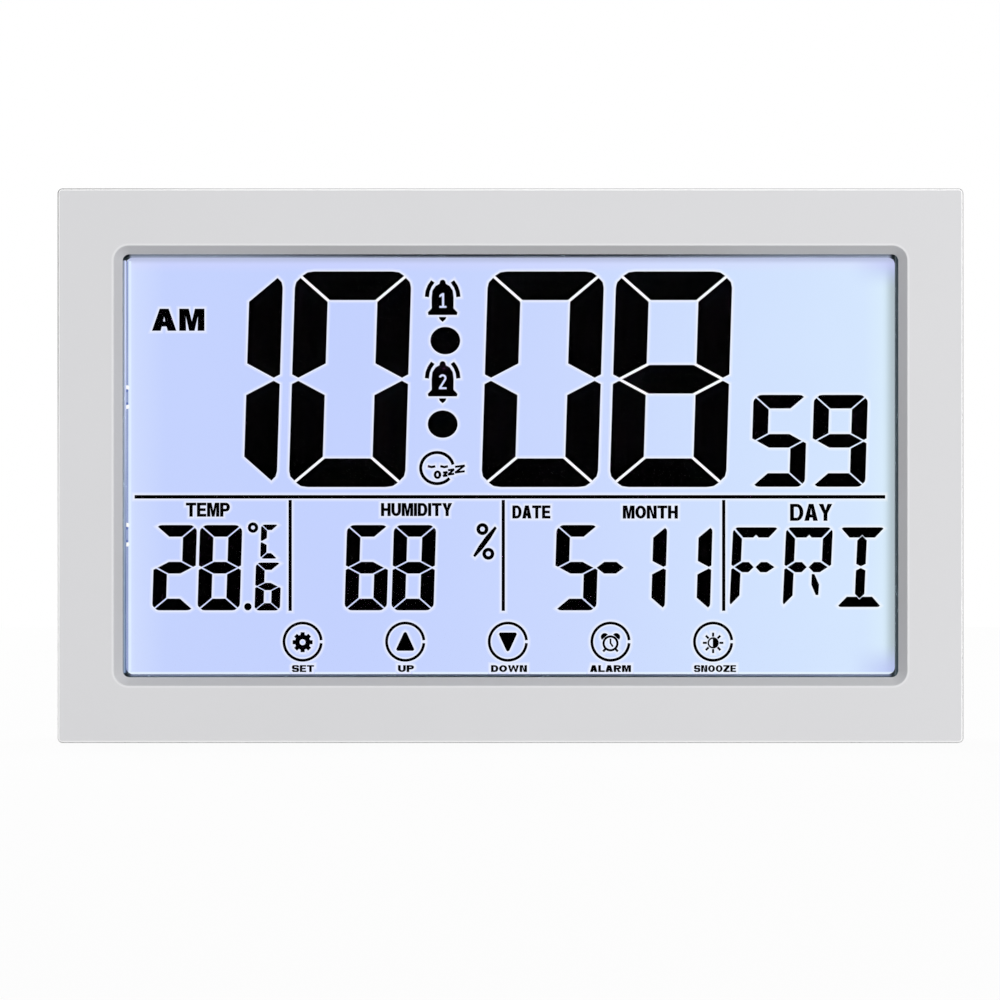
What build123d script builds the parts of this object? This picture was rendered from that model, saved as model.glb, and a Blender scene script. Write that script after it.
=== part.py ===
from build123d import *
import os
from math import cos, hypot, radians, sin

# Digital clock for a desk or a wall: a backlit display behind a sloping rim, touch keys,
# a folding stand and three small cells behind a hinged door.
# Millimetres. +Z is up, the face looks along -Y and the origin is the middle of the base.
# A depth is counted from the face towards the back.

# Case shells
WIDTH = 165.0
HEIGHT = 101.0
CASE_CORNER_RADIUS = 0.9
CASE_WALL = 2.0
FRONT_WALL = 2.4
REAR_WALL = 2.0
SEAM_DEPTH = 12.0
SEAM_CHAMFER = 0.25
FACE_EDGE_RADIUS = 0.4
REAR_SLOPE_DEPTH = 3.0
REAR_SLOPE_INSET = 2.0
LIP_HEIGHT = 1.5
LIP_THICKNESS = 0.8
LIP_CLEARANCE = 0.1

# Window in the face and its sloping rim
SIDE_FACE = 10.2
TOP_FACE = 10.4
RIM_WIDTH = 1.5
RIM_DEPTH = 2.0
RIM_CORNER_RADIUS = 2.75
RIM_EDGE_RADIUS = 0.15

# Lens, touch film and light seal
LENS_THICKNESS = 1.5
LENS_MARGIN = 2.5
LENS_CLEARANCE = 0.15
LENS_RIB = 1.2
FILM_THICKNESS = 0.2
FILM_INSET = 0.5
TAIL_WIDTH = 8.0
TAIL_BEND_RADIUS = 1.2
TAIL_STANDOFF = 2.0
SEAL_THICKNESS = 0.5
SEAL_SHOW = 0.5
SEAL_WIDTH = 1.6

# Display cell
POLARIZER_THICKNESS = 0.2
POLARIZER_MARGIN = 1.3
GLASS_THICKNESS = 1.1
GLASS_MARGIN = 2.5
CELL_GAP = 0.1
CELL_SEAL_WIDTH = 0.8
CONTACT_LEDGE = 3.0
STRIP_LENGTH = 120.0
STRIP_WIDTH = 2.0
STRIP_CLEARANCE = 0.3

# Backlight
GUIDE_THICKNESS = 2.5
REFLECTOR_THICKNESS = 0.2
LED_ROOM = 2.2
LED_THICKNESS = 1.1
LED_WIDTH = 3.0
LED_HEIGHT = 1.4
LED_COUNT = 6
LED_PITCH = 10.0
LED_GAP = 0.1
LED_BOARD_THICKNESS = 0.8
LED_BOARD_HEIGHT = 2.3
LED_TONGUE_WIDTH = 4.0
SLOT_CLEARANCE = 0.2

# Tray that holds the display and the backlight
HOLDER_WALL = 1.2
HOLDER_SIDE_WALL = 1.0
HOLDER_CLEARANCE = 0.15
TAB_SPACING = 25.2
TAB_WIDTH = 3.5
TAB_THICKNESS = 0.6
TAB_HOOK = 0.5
EAR_SPACING = 36.0
EAR_RADIUS = 2.3
EAR_THICKNESS = 1.6
EAR_SETBACK = 1.6

# Screws: the shank fills its pilot hole but for the thread clearance
THREAD_CLEARANCE = 0.05
PASS_CLEARANCE = 0.15
SCREW_SLOT = 0.6
SCREW_SLOT_DEPTH = 0.6
CASE_SCREW_RADIUS = 1.3
CASE_SCREW_HEAD_RADIUS = 2.2
CASE_SCREW_HEAD = 1.8
CASE_SCREW_GRIP = 4.0
CASE_SCREW_BITE = 7.0
BOSS_RADIUS = 2.6
REAR_BOSS_RADIUS = 3.2
BOSS_INSET = 5.5
COUNTERBORE_CLEARANCE = 0.3
SMALL_SCREW_RADIUS = 0.9
SMALL_SCREW_HEAD_RADIUS = 1.8
SMALL_SCREW_HEAD = 1.3
HOLDER_SCREW_BITE = 4.5
BOARD_SCREW_BITE = 2.4

# Main board and what sits on it
BOARD_THICKNESS = 1.6
STANDOFF_HEIGHT = 2.0
STANDOFF_RADIUS = 2.4
STANDOFF_INSET = 3.5
STANDOFF_SIDE = 9.0
STANDOFF_STAGGER = 6.0
BOARD_CLEARANCE = 0.5
BOARD_BAY_GAP = 2.6
BOARD_TOP_MARGIN = 0.6
CHIP_RADIUS = 6.5
CHIP_HEIGHT = 1.6
CHIP_ROUND = 1.2
CHIP_INSET = 39.5
CRYSTAL_RADIUS = 1.1
CRYSTAL_LENGTH = 6.5
CRYSTAL_INSET = 27.5
CAPACITOR_LENGTH = 2.0
CAPACITOR_WIDTH = 1.25
CAPACITOR_HEIGHT = 1.2
CAPACITOR_COUNT = 6
CAPACITOR_PITCH = 3.4
CAPACITOR_INSET = 49.0
SOCKET_LENGTH = 11.0
SOCKET_WIDTH = 4.4
SOCKET_HEIGHT = 1.6
SOCKET_INSET = 0.8
SENSOR_LENGTH = 9.0
SENSOR_WIDTH = 6.0
SENSOR_THICKNESS = 0.8
SENSOR_LIFT = 1.2
SENSOR_LEG = 0.6
BEAD_RADIUS = 1.2
BEAD_LIFT = 2.0
SENSOR_SPREAD = 8.0

# Battery bay, contacts and cells
CELL_DIAMETER = 10.3
CELL_LENGTH = 44.5
CELL_EDGE_RADIUS = 0.4
NUB_DIAMETER = 3.8
NUB_LENGTH = 0.9
CELL_PITCH = 10.9
CELL_COUNT = 3
CELL_FLOOR_GAP = 0.15
CELL_DOOR_GAP = 0.3
CONTACT_THICKNESS = 0.4
CONTACT_WIDTH = 8.0
CONTACT_HEIGHT = 9.0
SPRING_ROOM = 3.2
SPRING_WIDTH = 6.0
SPRING_SPAN = 6.4
SPRING_GAP = 0.1
TERMINAL_WIDTH = 4.0
TERMINAL_LENGTH = 2.6
TERMINAL_LIFT = 2.0
BAY_WALL = 1.4
BAY_FLOOR = 1.0
BAY_BOTTOM = 13.0
BAY_GAP = 3.5
BAY_HOLDER_GAP = 1.05

# Battery door, which turns on two stub pins at the ends of its rounded lower edge
DOOR_LEDGE = 0.7
DOOR_CLEARANCE = 0.2
DOOR_SEAT_GAP = 0.1
DOOR_EDGE_RADIUS = 0.3
STUB_RADIUS = 0.6
STUB_LENGTH = 1.0
STUB_END_GAP = 0.2
LATCH_WIDTH = 12.0
LATCH_LENGTH = 8.0
LATCH_SLIT = 0.7
GROOVE_COUNT = 3
GROOVE_PITCH = 1.6
GROOVE_WIDTH = 0.8
GROOVE_DEPTH = 0.4
SCOOP_WIDTH = 14.0
SCOOP_HEIGHT = 5.0
SCOOP_DEPTH = 1.1
SCOOP_GAP = 0.8

# Folding stand and its pin
STAND_WIDTH = 34.0
STAND_THICKNESS = 3.0
STAND_HINGE_HEIGHT = 58.0
STAND_TIP_HEIGHT = 0.8
STAND_ANGLE = 30.0
STAND_SIDE_GAP = 0.3
STAND_FLUSH = 0.1
STAND_FOOT_RADIUS = 1.3
STAND_EDGE_RADIUS = 0.5
STAND_STOP_GAP = 0.06
HEEL_OUTER = 1.2
BARREL_RADIUS = 2.2
PIN_RADIUS = 1.0
PIN_RUNNING_CLEARANCE = 0.05
PIN_SEAT_CLEARANCE = 0.01
RECESS_FLOOR_GAP = 0.25
RECESS_TOP_GAP = 0.3
RECESS_WALL = 1.2

# Keyhole for a wall screw
KEYHOLE_RADIUS = 4.2
KEYHOLE_SLOT_RADIUS = 2.2
KEYHOLE_TRAVEL = 8.0
KEYHOLE_DROP = 9.0
KEYHOLE_POCKET_MARGIN = 0.8
KEYHOLE_POCKET_DEPTH = 5.0

# Vents and sounder
VENT_COUNT = 7
VENT_PITCH = 4.0
VENT_WIDTH = 1.4
VENT_HEIGHT = 14.0
VENT_INSET = 25.5
SOUNDER_X = -48.0
SOUNDER_HEIGHT = 34.0
SOUNDER_RADIUS = 10.0
SOUNDER_THICKNESS = 0.25
ELEMENT_RADIUS = 7.0
ELEMENT_THICKNESS = 0.2
SEAT_WIDTH = 2.0
SEAT_HEIGHT = 1.2
SOUND_HOLE_RADIUS = 0.8
SOUND_HOLE_RING = 4.5
SOUND_HOLE_COUNT = 6

# Wires
LEAD_RADIUS = 0.6
LEAD_LIFT = 0.2
THIN_LEAD_RADIUS = 0.4
THIN_LEAD_SPREAD = 3.0
LEAD_BEND_RADIUS = 3.0

# Display artwork, drawn for a lit area of this size and fitted to the one in the case
ART_WIDTH = 140.6
ART_HEIGHT = 76.2
ART_SLANT = 0.031
LETTER_SLANT = 0.046
BAR_GAP = 0.48
SMALL_BAR_GAP = 0.26
TINY_BAR_GAP = 0.18
LETTER_BAR_GAP = 0.32
CORNER_CUT = 0.57
CORNER_ROUND = 0.045
MITRE_START = 0.19
TIME_DIGIT = (21.3, 39.5, 6.1, 5.25)
TIME_DIGIT_PITCH = 23.5
TIME_PAIR_OFFSET = 17.65
TIME_PLACE = (-11.72, 15.87)
COLON_RADII = (2.73, 2.51)
COLON_SPACING = 15.3
COLON_PLACE = (-12.17, 15.3)
SECOND_DIGIT = (9.9, 16.85, 2.86, 2.5)
SECOND_DIGIT_PITCH = 11.07
SECOND_PLACE = (54.76, 4.59)
LOWER_DIGIT = (7.75, 15.64, 2.52, 2.15)
LOWER_LINE = -18.65
LOWER_DIGIT_PITCH = 8.3
HUMIDITY_PITCH = 8.58
TEMPERATURE_X = -57.37
HUMIDITY_X = -22.0
MONTH_X = 12.1
DAY_X = 28.78
DASH_X = 18.28
DASH_SIZE = (5.0, 2.15)
DASH_POINT = 1.3
POINT_PLACE = (-48.1, -25.8)
POINT_RADIUS = 0.68
TENTHS_DIGIT = (4.68, 8.8, 1.66, 1.36)
TENTHS_PLACE = (-44.42, -22.1)
UNIT_DIGIT = (3.22, 6.25, 1.12, 1.02)
UNIT_PLACE = (-44.14, -13.87)
LETTER = (8.55, 14.6, 1.74, 1.88)
LETTER_PITCH = 9.73
LETTER_PLACE = (54.46, -18.55)
LETTER_NOTCH = 0.5
LETTER_LEG_START = 0.8
LETTER_LEG_HEIGHT = 3.85
LETTER_LEG_WIDTH = 1.42
LETTER_LEG_LEAN = 0.9
LETTER_LEG_TIP = 0.48

# What follows from the sizes above
window_width = WIDTH - 2 * (SIDE_FACE + RIM_WIDTH)
window_height = HEIGHT - 2 * (TOP_FACE + RIM_WIDTH)
window_radius = RIM_CORNER_RADIUS - RIM_WIDTH
lit_width = window_width - 2 * SEAL_SHOW
lit_height = window_height - 2 * SEAL_SHOW
glass_width = lit_width + 2 * GLASS_MARGIN
glass_height = lit_height + 2 * GLASS_MARGIN
middle = HEIGHT / 2
glass_bottom = middle - glass_height / 2
glass_top = middle + glass_height / 2
lens_width = window_width + 2 * LENS_MARGIN
lens_height = window_height + 2 * LENS_MARGIN

lens_back = FRONT_WALL + LENS_THICKNESS
film_back = lens_back + FILM_THICKNESS
seal_back = film_back + SEAL_THICKNESS
front_polarizer_back = seal_back + POLARIZER_THICKNESS
front_glass_back = front_polarizer_back + GLASS_THICKNESS
cell_back = front_glass_back + CELL_GAP
rear_glass_back = cell_back + GLASS_THICKNESS
rear_polarizer_back = rear_glass_back + POLARIZER_THICKNESS
guide_back = rear_polarizer_back + GUIDE_THICKNESS
reflector_back = guide_back + REFLECTOR_THICKNESS
holder_back = reflector_back + HOLDER_WALL
board_front = holder_back + STANDOFF_HEIGHT
board_back = board_front + BOARD_THICKNESS

cell_radius = CELL_DIAMETER / 2
bay_floor_front = holder_back + BAY_HOLDER_GAP
bay_floor = bay_floor_front + BAY_FLOOR
cell_depth = bay_floor + CELL_FLOOR_GAP + cell_radius
rear_inside = cell_depth + cell_radius + CELL_DOOR_GAP
depth = rear_inside + REAR_WALL
slope_start = depth - REAR_SLOPE_DEPTH
inner_width = WIDTH - 2 * CASE_WALL
inner_height = HEIGHT - 2 * CASE_WALL

tray_width = glass_width + 2 * HOLDER_CLEARANCE
tray_bottom = glass_bottom - HOLDER_CLEARANCE
tray_top = glass_top + CONTACT_LEDGE + HOLDER_CLEARANCE
holder_half = tray_width / 2 + HOLDER_SIDE_WALL
boss_x = (holder_half + inner_width / 2) / 2
boss_low = CASE_WALL + BOSS_INSET
boss_high = HEIGHT - CASE_WALL - BOSS_INSET
boss_points = [(x, z) for x in (-boss_x, boss_x) for z in (boss_low, boss_high)]
ear_points = [(x, middle + z) for x in (-boss_x, boss_x) for z in (-EAR_SPACING / 2, EAR_SPACING / 2)]
ear_back = holder_back - EAR_SETBACK
ear_front = ear_back - EAR_THICKNESS

hinge_depth = depth - STAND_FLUSH - BARREL_RADIUS
recess_floor = hinge_depth - BARREL_RADIUS - RECESS_FLOOR_GAP
recess_half = STAND_WIDTH / 2 + STAND_SIDE_GAP
recess_side = recess_half + RECESS_WALL
heel_inner = STAND_THICKNESS - BARREL_RADIUS
floor_reach = BARREL_RADIUS + RECESS_FLOOR_GAP - STAND_STOP_GAP
heel_height = (floor_reach - heel_inner * cos(radians(STAND_ANGLE))) / sin(radians(STAND_ANGLE))
recess_top = STAND_HINGE_HEIGHT + hypot(heel_height, HEEL_OUTER) + RECESS_TOP_GAP

bay_left = recess_side + BAY_GAP + BAY_WALL
bay_width = CELL_COUNT * CELL_PITCH + CELL_DOOR_GAP
bay_right = bay_left + bay_width
bay_length = CELL_LENGTH + SPRING_ROOM + 2 * CONTACT_THICKNESS
bay_top = BAY_BOTTOM + bay_length
bay_middle_x = (bay_left + bay_right) / 2
bay_middle_z = (BAY_BOTTOM + bay_top) / 2
cell_columns = [bay_middle_x + (i - (CELL_COUNT - 1) / 2) * CELL_PITCH for i in range(CELL_COUNT)]
terminal_depth = bay_floor + TERMINAL_LIFT
door_bottom = BAY_BOTTOM - DOOR_LEDGE
door_top = bay_top + DOOR_LEDGE
door_left = bay_left - DOOR_LEDGE
door_right = bay_right + DOOR_LEDGE
door_thickness = REAR_WALL - DOOR_SEAT_GAP
door_hinge_depth = depth - door_thickness / 2
door_hinge_height = door_bottom + DOOR_CLEARANCE + door_thickness / 2

strip_middle = glass_top + CONTACT_LEDGE / 2
board_half = boss_x - REAR_BOSS_RADIUS - BOARD_CLEARANCE
board_bottom = bay_top + BAY_WALL + BOARD_BAY_GAP
board_top = strip_middle + STRIP_WIDTH / 2 + BOARD_TOP_MARGIN
board_middle = (board_bottom + board_top) / 2
board_low = board_bottom + STANDOFF_INSET
board_high = strip_middle - STRIP_WIDTH / 2 - STANDOFF_INSET
standoff_low = board_half - STANDOFF_SIDE
standoff_high = standoff_low - STANDOFF_STAGGER
standoff_points = [(x, board_low) for x in (-standoff_low, standoff_low)]
standoff_points += [(x, board_high) for x in (-standoff_high, standoff_high)]
vent_x = -board_half + VENT_INSET
chip_x = board_half - CHIP_INSET
crystal_x = board_half - CRYSTAL_INSET
capacitor_middle = -board_half + CAPACITOR_INSET

guide_right = glass_width / 2 - LED_ROOM
led_left = guide_right + LED_GAP
led_board_left = led_left + LED_THICKNESS
led_board_middle_x = led_board_left + LED_BOARD_THICKNESS / 2
led_middle_depth = rear_polarizer_back + GUIDE_THICKNESS / 2
led_board_length = LED_COUNT * LED_PITCH

art_scale = min(lit_width / ART_WIDTH, lit_height / ART_HEIGHT)
keyhole_top = HEIGHT - KEYHOLE_DROP
keyhole_entry = keyhole_top - KEYHOLE_TRAVEL
keyhole_pocket_radius = KEYHOLE_RADIUS + KEYHOLE_POCKET_MARGIN


def depth_plane(behind_face):
    """Plane parallel to the face, looking at the viewer, with X and Z as its own axes."""
    return Plane.XZ.offset(depth / 2 - behind_face)


def at_depth(behind_face):
    """Y of a depth."""
    return behind_face - depth / 2


def block(x_range, z_range, depth_range, mode=Mode.ADD):
    """Block between two X, two Z and two depth limits, added to or cut from the open part."""
    with BuildSketch(depth_plane(depth_range[1])) as outline:
        with Locations((sum(x_range) / 2, sum(z_range) / 2)):
            Rectangle(x_range[1] - x_range[0], z_range[1] - z_range[0])
    extrude(outline.sketch, amount=depth_range[1] - depth_range[0], mode=mode)


def posts(points, radius, depth_range, mode=Mode.ADD):
    """Round posts or holes square to the face, at points given as X and Z."""
    with BuildSketch(depth_plane(depth_range[1])) as outline:
        with Locations(*points):
            Circle(radius)
    extrude(outline.sketch, amount=depth_range[1] - depth_range[0], mode=mode)


def crosses(points, width, head_depth):
    """Cross slots in screw heads whose tops are at head_depth."""
    with BuildSketch(depth_plane(head_depth)) as outline:
        with Locations(*points):
            Rectangle(width, SCREW_SLOT)
            Rectangle(SCREW_SLOT, width)
    extrude(outline.sketch, amount=SCREW_SLOT_DEPTH, mode=Mode.SUBTRACT)


def wire(points, radius):
    """Round wire along straight runs joined by arcs."""
    with BuildLine() as route:
        FilletPolyline(*points, radius=LEAD_BEND_RADIUS)
    with BuildSketch(Plane(origin=route.line @ 0, z_dir=route.line % 0)) as section:
        Circle(radius)
    sweep(section.sketch, path=route.line)


def save(builder, name):
    """Label a finished piece and write it to its own file."""
    builder.part.label = name
    export_step(builder.part, f"parts/{name}.step")


def digit_bars(size, gap):
    """Outlines of a digit's seven bars about its own middle, upright, by their usual letters."""
    width, height, upright, bar = size
    w = width / 2
    h = height / 2
    half = gap / 2
    start_x = MITRE_START * upright
    start_y = MITRE_START * bar
    run = upright - start_x
    rise = bar - start_y
    slope = hypot(run, rise)
    side_x = half * rise / slope
    side_y = half * run / slope
    cut_x = CORNER_CUT * upright
    cut_y = CORNER_CUT * bar
    point_rise = bar / 2
    point_slope = hypot(run, point_rise)
    point_lift = half * point_slope / run
    point_shift = half * point_slope / point_rise
    outer_lift = point_lift + start_x * point_rise / run
    top_inner = w - upright - half * slope / rise
    side_inner = h - bar - half * slope / run
    corner_x = -w + (start_x + side_x + cut_x) / 2 - CORNER_ROUND * upright / 2
    corner_y = h - (start_y - side_y) / 2 + CORNER_ROUND * bar
    shoulder_x = -w + (start_x - side_x) / 2 - CORNER_ROUND * upright
    shoulder_y = h - (start_y + side_y + cut_y) / 2 + CORNER_ROUND * bar / 2
    top = [
        (-w + start_x + side_x, h - start_y + side_y),
        (corner_x, corner_y),
        (-w + cut_x, h),
        (w - cut_x, h),
        (-corner_x, corner_y),
        (w - start_x - side_x, h - start_y + side_y),
        (top_inner, h - bar),
        (-top_inner, h - bar),
    ]
    upper_left = [
        (-w + start_x - side_x, h - start_y - side_y),
        (-w + upright, side_inner),
        (-w + upright, point_rise + point_lift),
        (-w + start_x, point_lift),
        (-w, outer_lift),
        (-w, h - cut_y),
        (shoulder_x, shoulder_y),
    ]
    tip = w - start_x - point_shift
    flat = w - upright - point_shift
    centre = [
        (-tip, 0),
        (-flat, point_rise),
        (flat, point_rise),
        (tip, 0),
        (flat, -point_rise),
        (-flat, -point_rise),
    ]
    return {
        "a": top,
        "b": [(-x, y) for x, y in upper_left],
        "c": [(-x, -y) for x, y in upper_left],
        "d": [(x, -y) for x, y in top],
        "e": [(x, -y) for x, y in upper_left],
        "f": upper_left,
        "g": centre,
    }


def letter_bars(size, gap):
    """Outlines of a weekday letter: a digit's bars with a notched top, a split middle, a stem and a leg."""
    width, height, upright, bar = size
    bars = digit_bars(size, gap)
    split = gap / 2
    half = bar / 2
    tip_x = bars["g"][3][0]
    flat_x = bars["g"][2][0]
    near_x = split + half
    inner_y = height / 2 - bar
    notch = [(LETTER_NOTCH, inner_y), (0, inner_y + LETTER_NOTCH), (-LETTER_NOTCH, inner_y)]
    bars["a"] = bars["a"][:-1] + notch + bars["a"][-1:]
    bars["d"] = [(x, -y) for x, y in bars["a"]]
    bars["h"] = [(-tip_x, 0), (-flat_x, half), (-near_x, half), (-split, 0), (-near_x, -half), (-flat_x, -half)]
    bars["i"] = [(-x, y) for x, y in bars["h"]]
    stem = upright / 2
    stem_top = inner_y + LETTER_NOTCH - split
    bars["j"] = [
        (0, split),
        (stem, split + stem / 2),
        (stem, stem_top - stem),
        (0, stem_top),
        (-stem, stem_top - stem),
        (-stem, split + stem / 2),
    ]
    bars["k"] = [(x, -y) for x, y in bars["j"]]
    leg_top = -half - gap
    leg_middle = leg_top - LETTER_LEG_HEIGHT / 2
    leg_bottom = leg_top - LETTER_LEG_HEIGHT
    leg_end = LETTER_LEG_START + LETTER_LEG_LEAN
    bars["l"] = [
        (LETTER_LEG_START, leg_top),
        (LETTER_LEG_START + LETTER_LEG_TIP, leg_top),
        (LETTER_LEG_START + LETTER_LEG_WIDTH, leg_middle),
        (leg_end + LETTER_LEG_TIP, leg_bottom),
        (leg_end, leg_bottom),
        (LETTER_LEG_START, leg_middle),
    ]
    return bars


DIGIT_BARS = {"0": "abcdef", "1": "bc", "2": "abdeg", "5": "acdfg", "6": "acdefg", "8": "abcdefg", "9": "abcdfg"}
UNIT_BARS = {"C": "adef"}
LETTER_BARS = {"F": "aefhi", "R": "abefhil", "I": "adjk"}


def place_bars(bars, chosen, place, slant=ART_SLANT):
    """The chosen bars, slanted and moved to their place on the display."""
    outlines = []
    for letter in chosen:
        outline = []
        for x, y in bars[letter]:
            across = (place[0] + x + slant * y) * art_scale
            up = middle + (place[1] + y) * art_scale
            outline.append((across, up))
        outlines.append(outline)
    return outlines


def row_of(text, bars, table, place, pitch, slant=ART_SLANT):
    """Bars of a row of characters centred on its place."""
    outlines = []
    for index, character in enumerate(text):
        x = place[0] + (index - (len(text) - 1) / 2) * pitch
        outlines += place_bars(bars, table[character], (x, place[1]), slant)
    return outlines


def art_point(place):
    """Point on the display, in the case's X and Z."""
    return (place[0] * art_scale, middle + place[1] * art_scale)


os.makedirs("parts", exist_ok=True)

# Front bezel: one moulding with the flat face, the sloping rim, the side walls and its bosses
with BuildPart() as front_bezel:
    with BuildSketch(depth_plane(SEAM_DEPTH)):
        with Locations((0, middle)):
            RectangleRounded(WIDTH, HEIGHT, CASE_CORNER_RADIUS)
    extrude(amount=SEAM_DEPTH)
    fillet(front_bezel.faces().sort_by(Axis.Y)[0].edges(), FACE_EDGE_RADIUS)
    chamfer(front_bezel.faces().sort_by(Axis.Y)[-1].edges(), SEAM_CHAMFER)
    block(
        (-inner_width / 2, inner_width / 2),
        (CASE_WALL, HEIGHT - CASE_WALL),
        (FRONT_WALL, SEAM_DEPTH),
        Mode.SUBTRACT,
    )
    with BuildSketch(depth_plane(FRONT_WALL)):
        with Locations((0, middle)):
            RectangleRounded(window_width, window_height, window_radius)
    extrude(amount=FRONT_WALL, mode=Mode.SUBTRACT)
    with BuildSketch(depth_plane(0)):
        with Locations((0, middle)):
            RectangleRounded(window_width + 2 * RIM_WIDTH, window_height + 2 * RIM_WIDTH, RIM_CORNER_RADIUS)
    with BuildSketch(depth_plane(RIM_DEPTH)):
        with Locations((0, middle)):
            RectangleRounded(window_width, window_height, window_radius)
    loft(ruled=True, mode=Mode.SUBTRACT)
    face = front_bezel.faces().sort_by(Axis.Y)[0]
    fillet(face.inner_wires()[0].edges(), RIM_EDGE_RADIUS)
    with BuildSketch(depth_plane(lens_back)):
        with Locations((0, middle)):
            seat_width = lens_width + 2 * LENS_CLEARANCE
            seat_height = lens_height + 2 * LENS_CLEARANCE
            Rectangle(seat_width + 2 * LENS_RIB, seat_height + 2 * LENS_RIB)
            Rectangle(seat_width, seat_height, mode=Mode.SUBTRACT)
    extrude(amount=LENS_THICKNESS)
    posts(boss_points, BOSS_RADIUS, (FRONT_WALL, SEAM_DEPTH))
    posts(ear_points, EAR_RADIUS, (FRONT_WALL, ear_front))
    pilot_end = SEAM_DEPTH - CASE_SCREW_BITE - THREAD_CLEARANCE
    posts(boss_points, CASE_SCREW_RADIUS + THREAD_CLEARANCE, (pilot_end, SEAM_DEPTH), Mode.SUBTRACT)
    pilot_end = ear_front - HOLDER_SCREW_BITE - THREAD_CLEARANCE
    posts(ear_points, SMALL_SCREW_RADIUS + THREAD_CLEARANCE, (pilot_end, ear_front), Mode.SUBTRACT)
save(front_bezel, "front_bezel")

# Clear lens seated in the rib behind the face
with BuildPart() as window_lens:
    with BuildSketch(depth_plane(lens_back)):
        with Locations((0, middle)):
            Rectangle(lens_width, lens_height)
    extrude(amount=LENS_THICKNESS)
save(window_lens, "window_lens")

# Clear touch film bonded to the lens, with a tail that folds round the tray to the main board
tail_middle = board_middle
tail_x = -holder_half - TAIL_STANDOFF
tail_depth = board_back + SOCKET_HEIGHT / 2
socket_x = -board_half + SOCKET_INSET + SOCKET_WIDTH / 2
film_depth = lens_back + FILM_THICKNESS / 2
with BuildPart() as touch_film:
    with BuildSketch(depth_plane(film_back)):
        with Locations((0, middle)):
            Rectangle(lens_width - 2 * FILM_INSET, lens_height - 2 * FILM_INSET)
    extrude(amount=FILM_THICKNESS)
    with BuildSketch(Plane.XY.offset(tail_middle - TAIL_WIDTH / 2)):
        with BuildLine():
            FilletPolyline(
                (-lens_width / 2 + 2 * FILM_INSET, at_depth(film_depth)),
                (tail_x, at_depth(film_depth)),
                (tail_x, at_depth(tail_depth)),
                (socket_x - SOCKET_WIDTH / 2, at_depth(tail_depth)),
                radius=TAIL_BEND_RADIUS,
            )
        trace(line_width=FILM_THICKNESS)
    extrude(amount=TAIL_WIDTH)
save(touch_film, "touch_film")

# Black foam seal whose inner edge shows as the dark line round the display
with BuildPart() as light_seal:
    with BuildSketch(depth_plane(seal_back)):
        with Locations((0, middle)):
            Rectangle(lit_width + 2 * SEAL_WIDTH, lit_height + 2 * SEAL_WIDTH)
            RectangleRounded(lit_width, lit_height, window_radius, mode=Mode.SUBTRACT)
    extrude(amount=SEAL_THICKNESS)
save(light_seal, "light_seal")

# Front and rear polarizers
for polarizer_name, polarizer_back in (
    ("lcd_front_polarizer", front_polarizer_back),
    ("lcd_rear_polarizer", rear_polarizer_back),
):
    with BuildPart() as polarizer:
        with BuildSketch(depth_plane(polarizer_back)):
            with Locations((0, middle)):
                Rectangle(lit_width + 2 * POLARIZER_MARGIN, lit_height + 2 * POLARIZER_MARGIN)
        extrude(amount=POLARIZER_THICKNESS)
    save(polarizer, polarizer_name)

# Front glass, with a ledge along its top for the contacts, and the shorter rear glass
with BuildPart() as lcd_front_glass:
    block(
        (-glass_width / 2, glass_width / 2),
        (glass_bottom, glass_top + CONTACT_LEDGE),
        (front_polarizer_back, front_glass_back),
    )
save(lcd_front_glass, "lcd_front_glass")

with BuildPart() as lcd_rear_glass:
    block(
        (-glass_width / 2, glass_width / 2),
        (glass_bottom, glass_top),
        (cell_back, rear_glass_back),
    )
save(lcd_rear_glass, "lcd_rear_glass")

# Resin bead that joins the two glasses round their edge
with BuildPart() as lcd_edge_bead:
    with BuildSketch(depth_plane(cell_back)):
        with Locations((0, middle)):
            Rectangle(glass_width, glass_height)
            Rectangle(glass_width - 2 * CELL_SEAL_WIDTH, glass_height - 2 * CELL_SEAL_WIDTH, mode=Mode.SUBTRACT)
    extrude(amount=CELL_GAP)
save(lcd_edge_bead, "lcd_edge_bead")

# Dark bars of the display: the time, the seconds, temperature, humidity, date and weekday
time_bars = digit_bars(TIME_DIGIT, BAR_GAP)
second_bars = digit_bars(SECOND_DIGIT, SMALL_BAR_GAP)
lower_bars = digit_bars(LOWER_DIGIT, SMALL_BAR_GAP)
tenths_bars = digit_bars(TENTHS_DIGIT, TINY_BAR_GAP)
unit_bars = digit_bars(UNIT_DIGIT, TINY_BAR_GAP)
weekday_bars = letter_bars(LETTER, LETTER_BAR_GAP)
hours_place = (TIME_PLACE[0] - TIME_PAIR_OFFSET - TIME_DIGIT_PITCH / 2, TIME_PLACE[1])
minutes_place = (TIME_PLACE[0] + TIME_PAIR_OFFSET + TIME_DIGIT_PITCH / 2, TIME_PLACE[1])
digit_outlines = row_of("10", time_bars, DIGIT_BARS, hours_place, TIME_DIGIT_PITCH)
digit_outlines += row_of("08", time_bars, DIGIT_BARS, minutes_place, TIME_DIGIT_PITCH)
digit_outlines += row_of("59", second_bars, DIGIT_BARS, SECOND_PLACE, SECOND_DIGIT_PITCH)
digit_outlines += row_of("28", lower_bars, DIGIT_BARS, (TEMPERATURE_X, LOWER_LINE), LOWER_DIGIT_PITCH)
digit_outlines += row_of("68", lower_bars, DIGIT_BARS, (HUMIDITY_X, LOWER_LINE), HUMIDITY_PITCH)
digit_outlines += row_of("5", lower_bars, DIGIT_BARS, (MONTH_X, LOWER_LINE), LOWER_DIGIT_PITCH)
digit_outlines += row_of("11", lower_bars, DIGIT_BARS, (DAY_X, LOWER_LINE), LOWER_DIGIT_PITCH)
digit_outlines += row_of("6", tenths_bars, DIGIT_BARS, TENTHS_PLACE, LOWER_DIGIT_PITCH)
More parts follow.
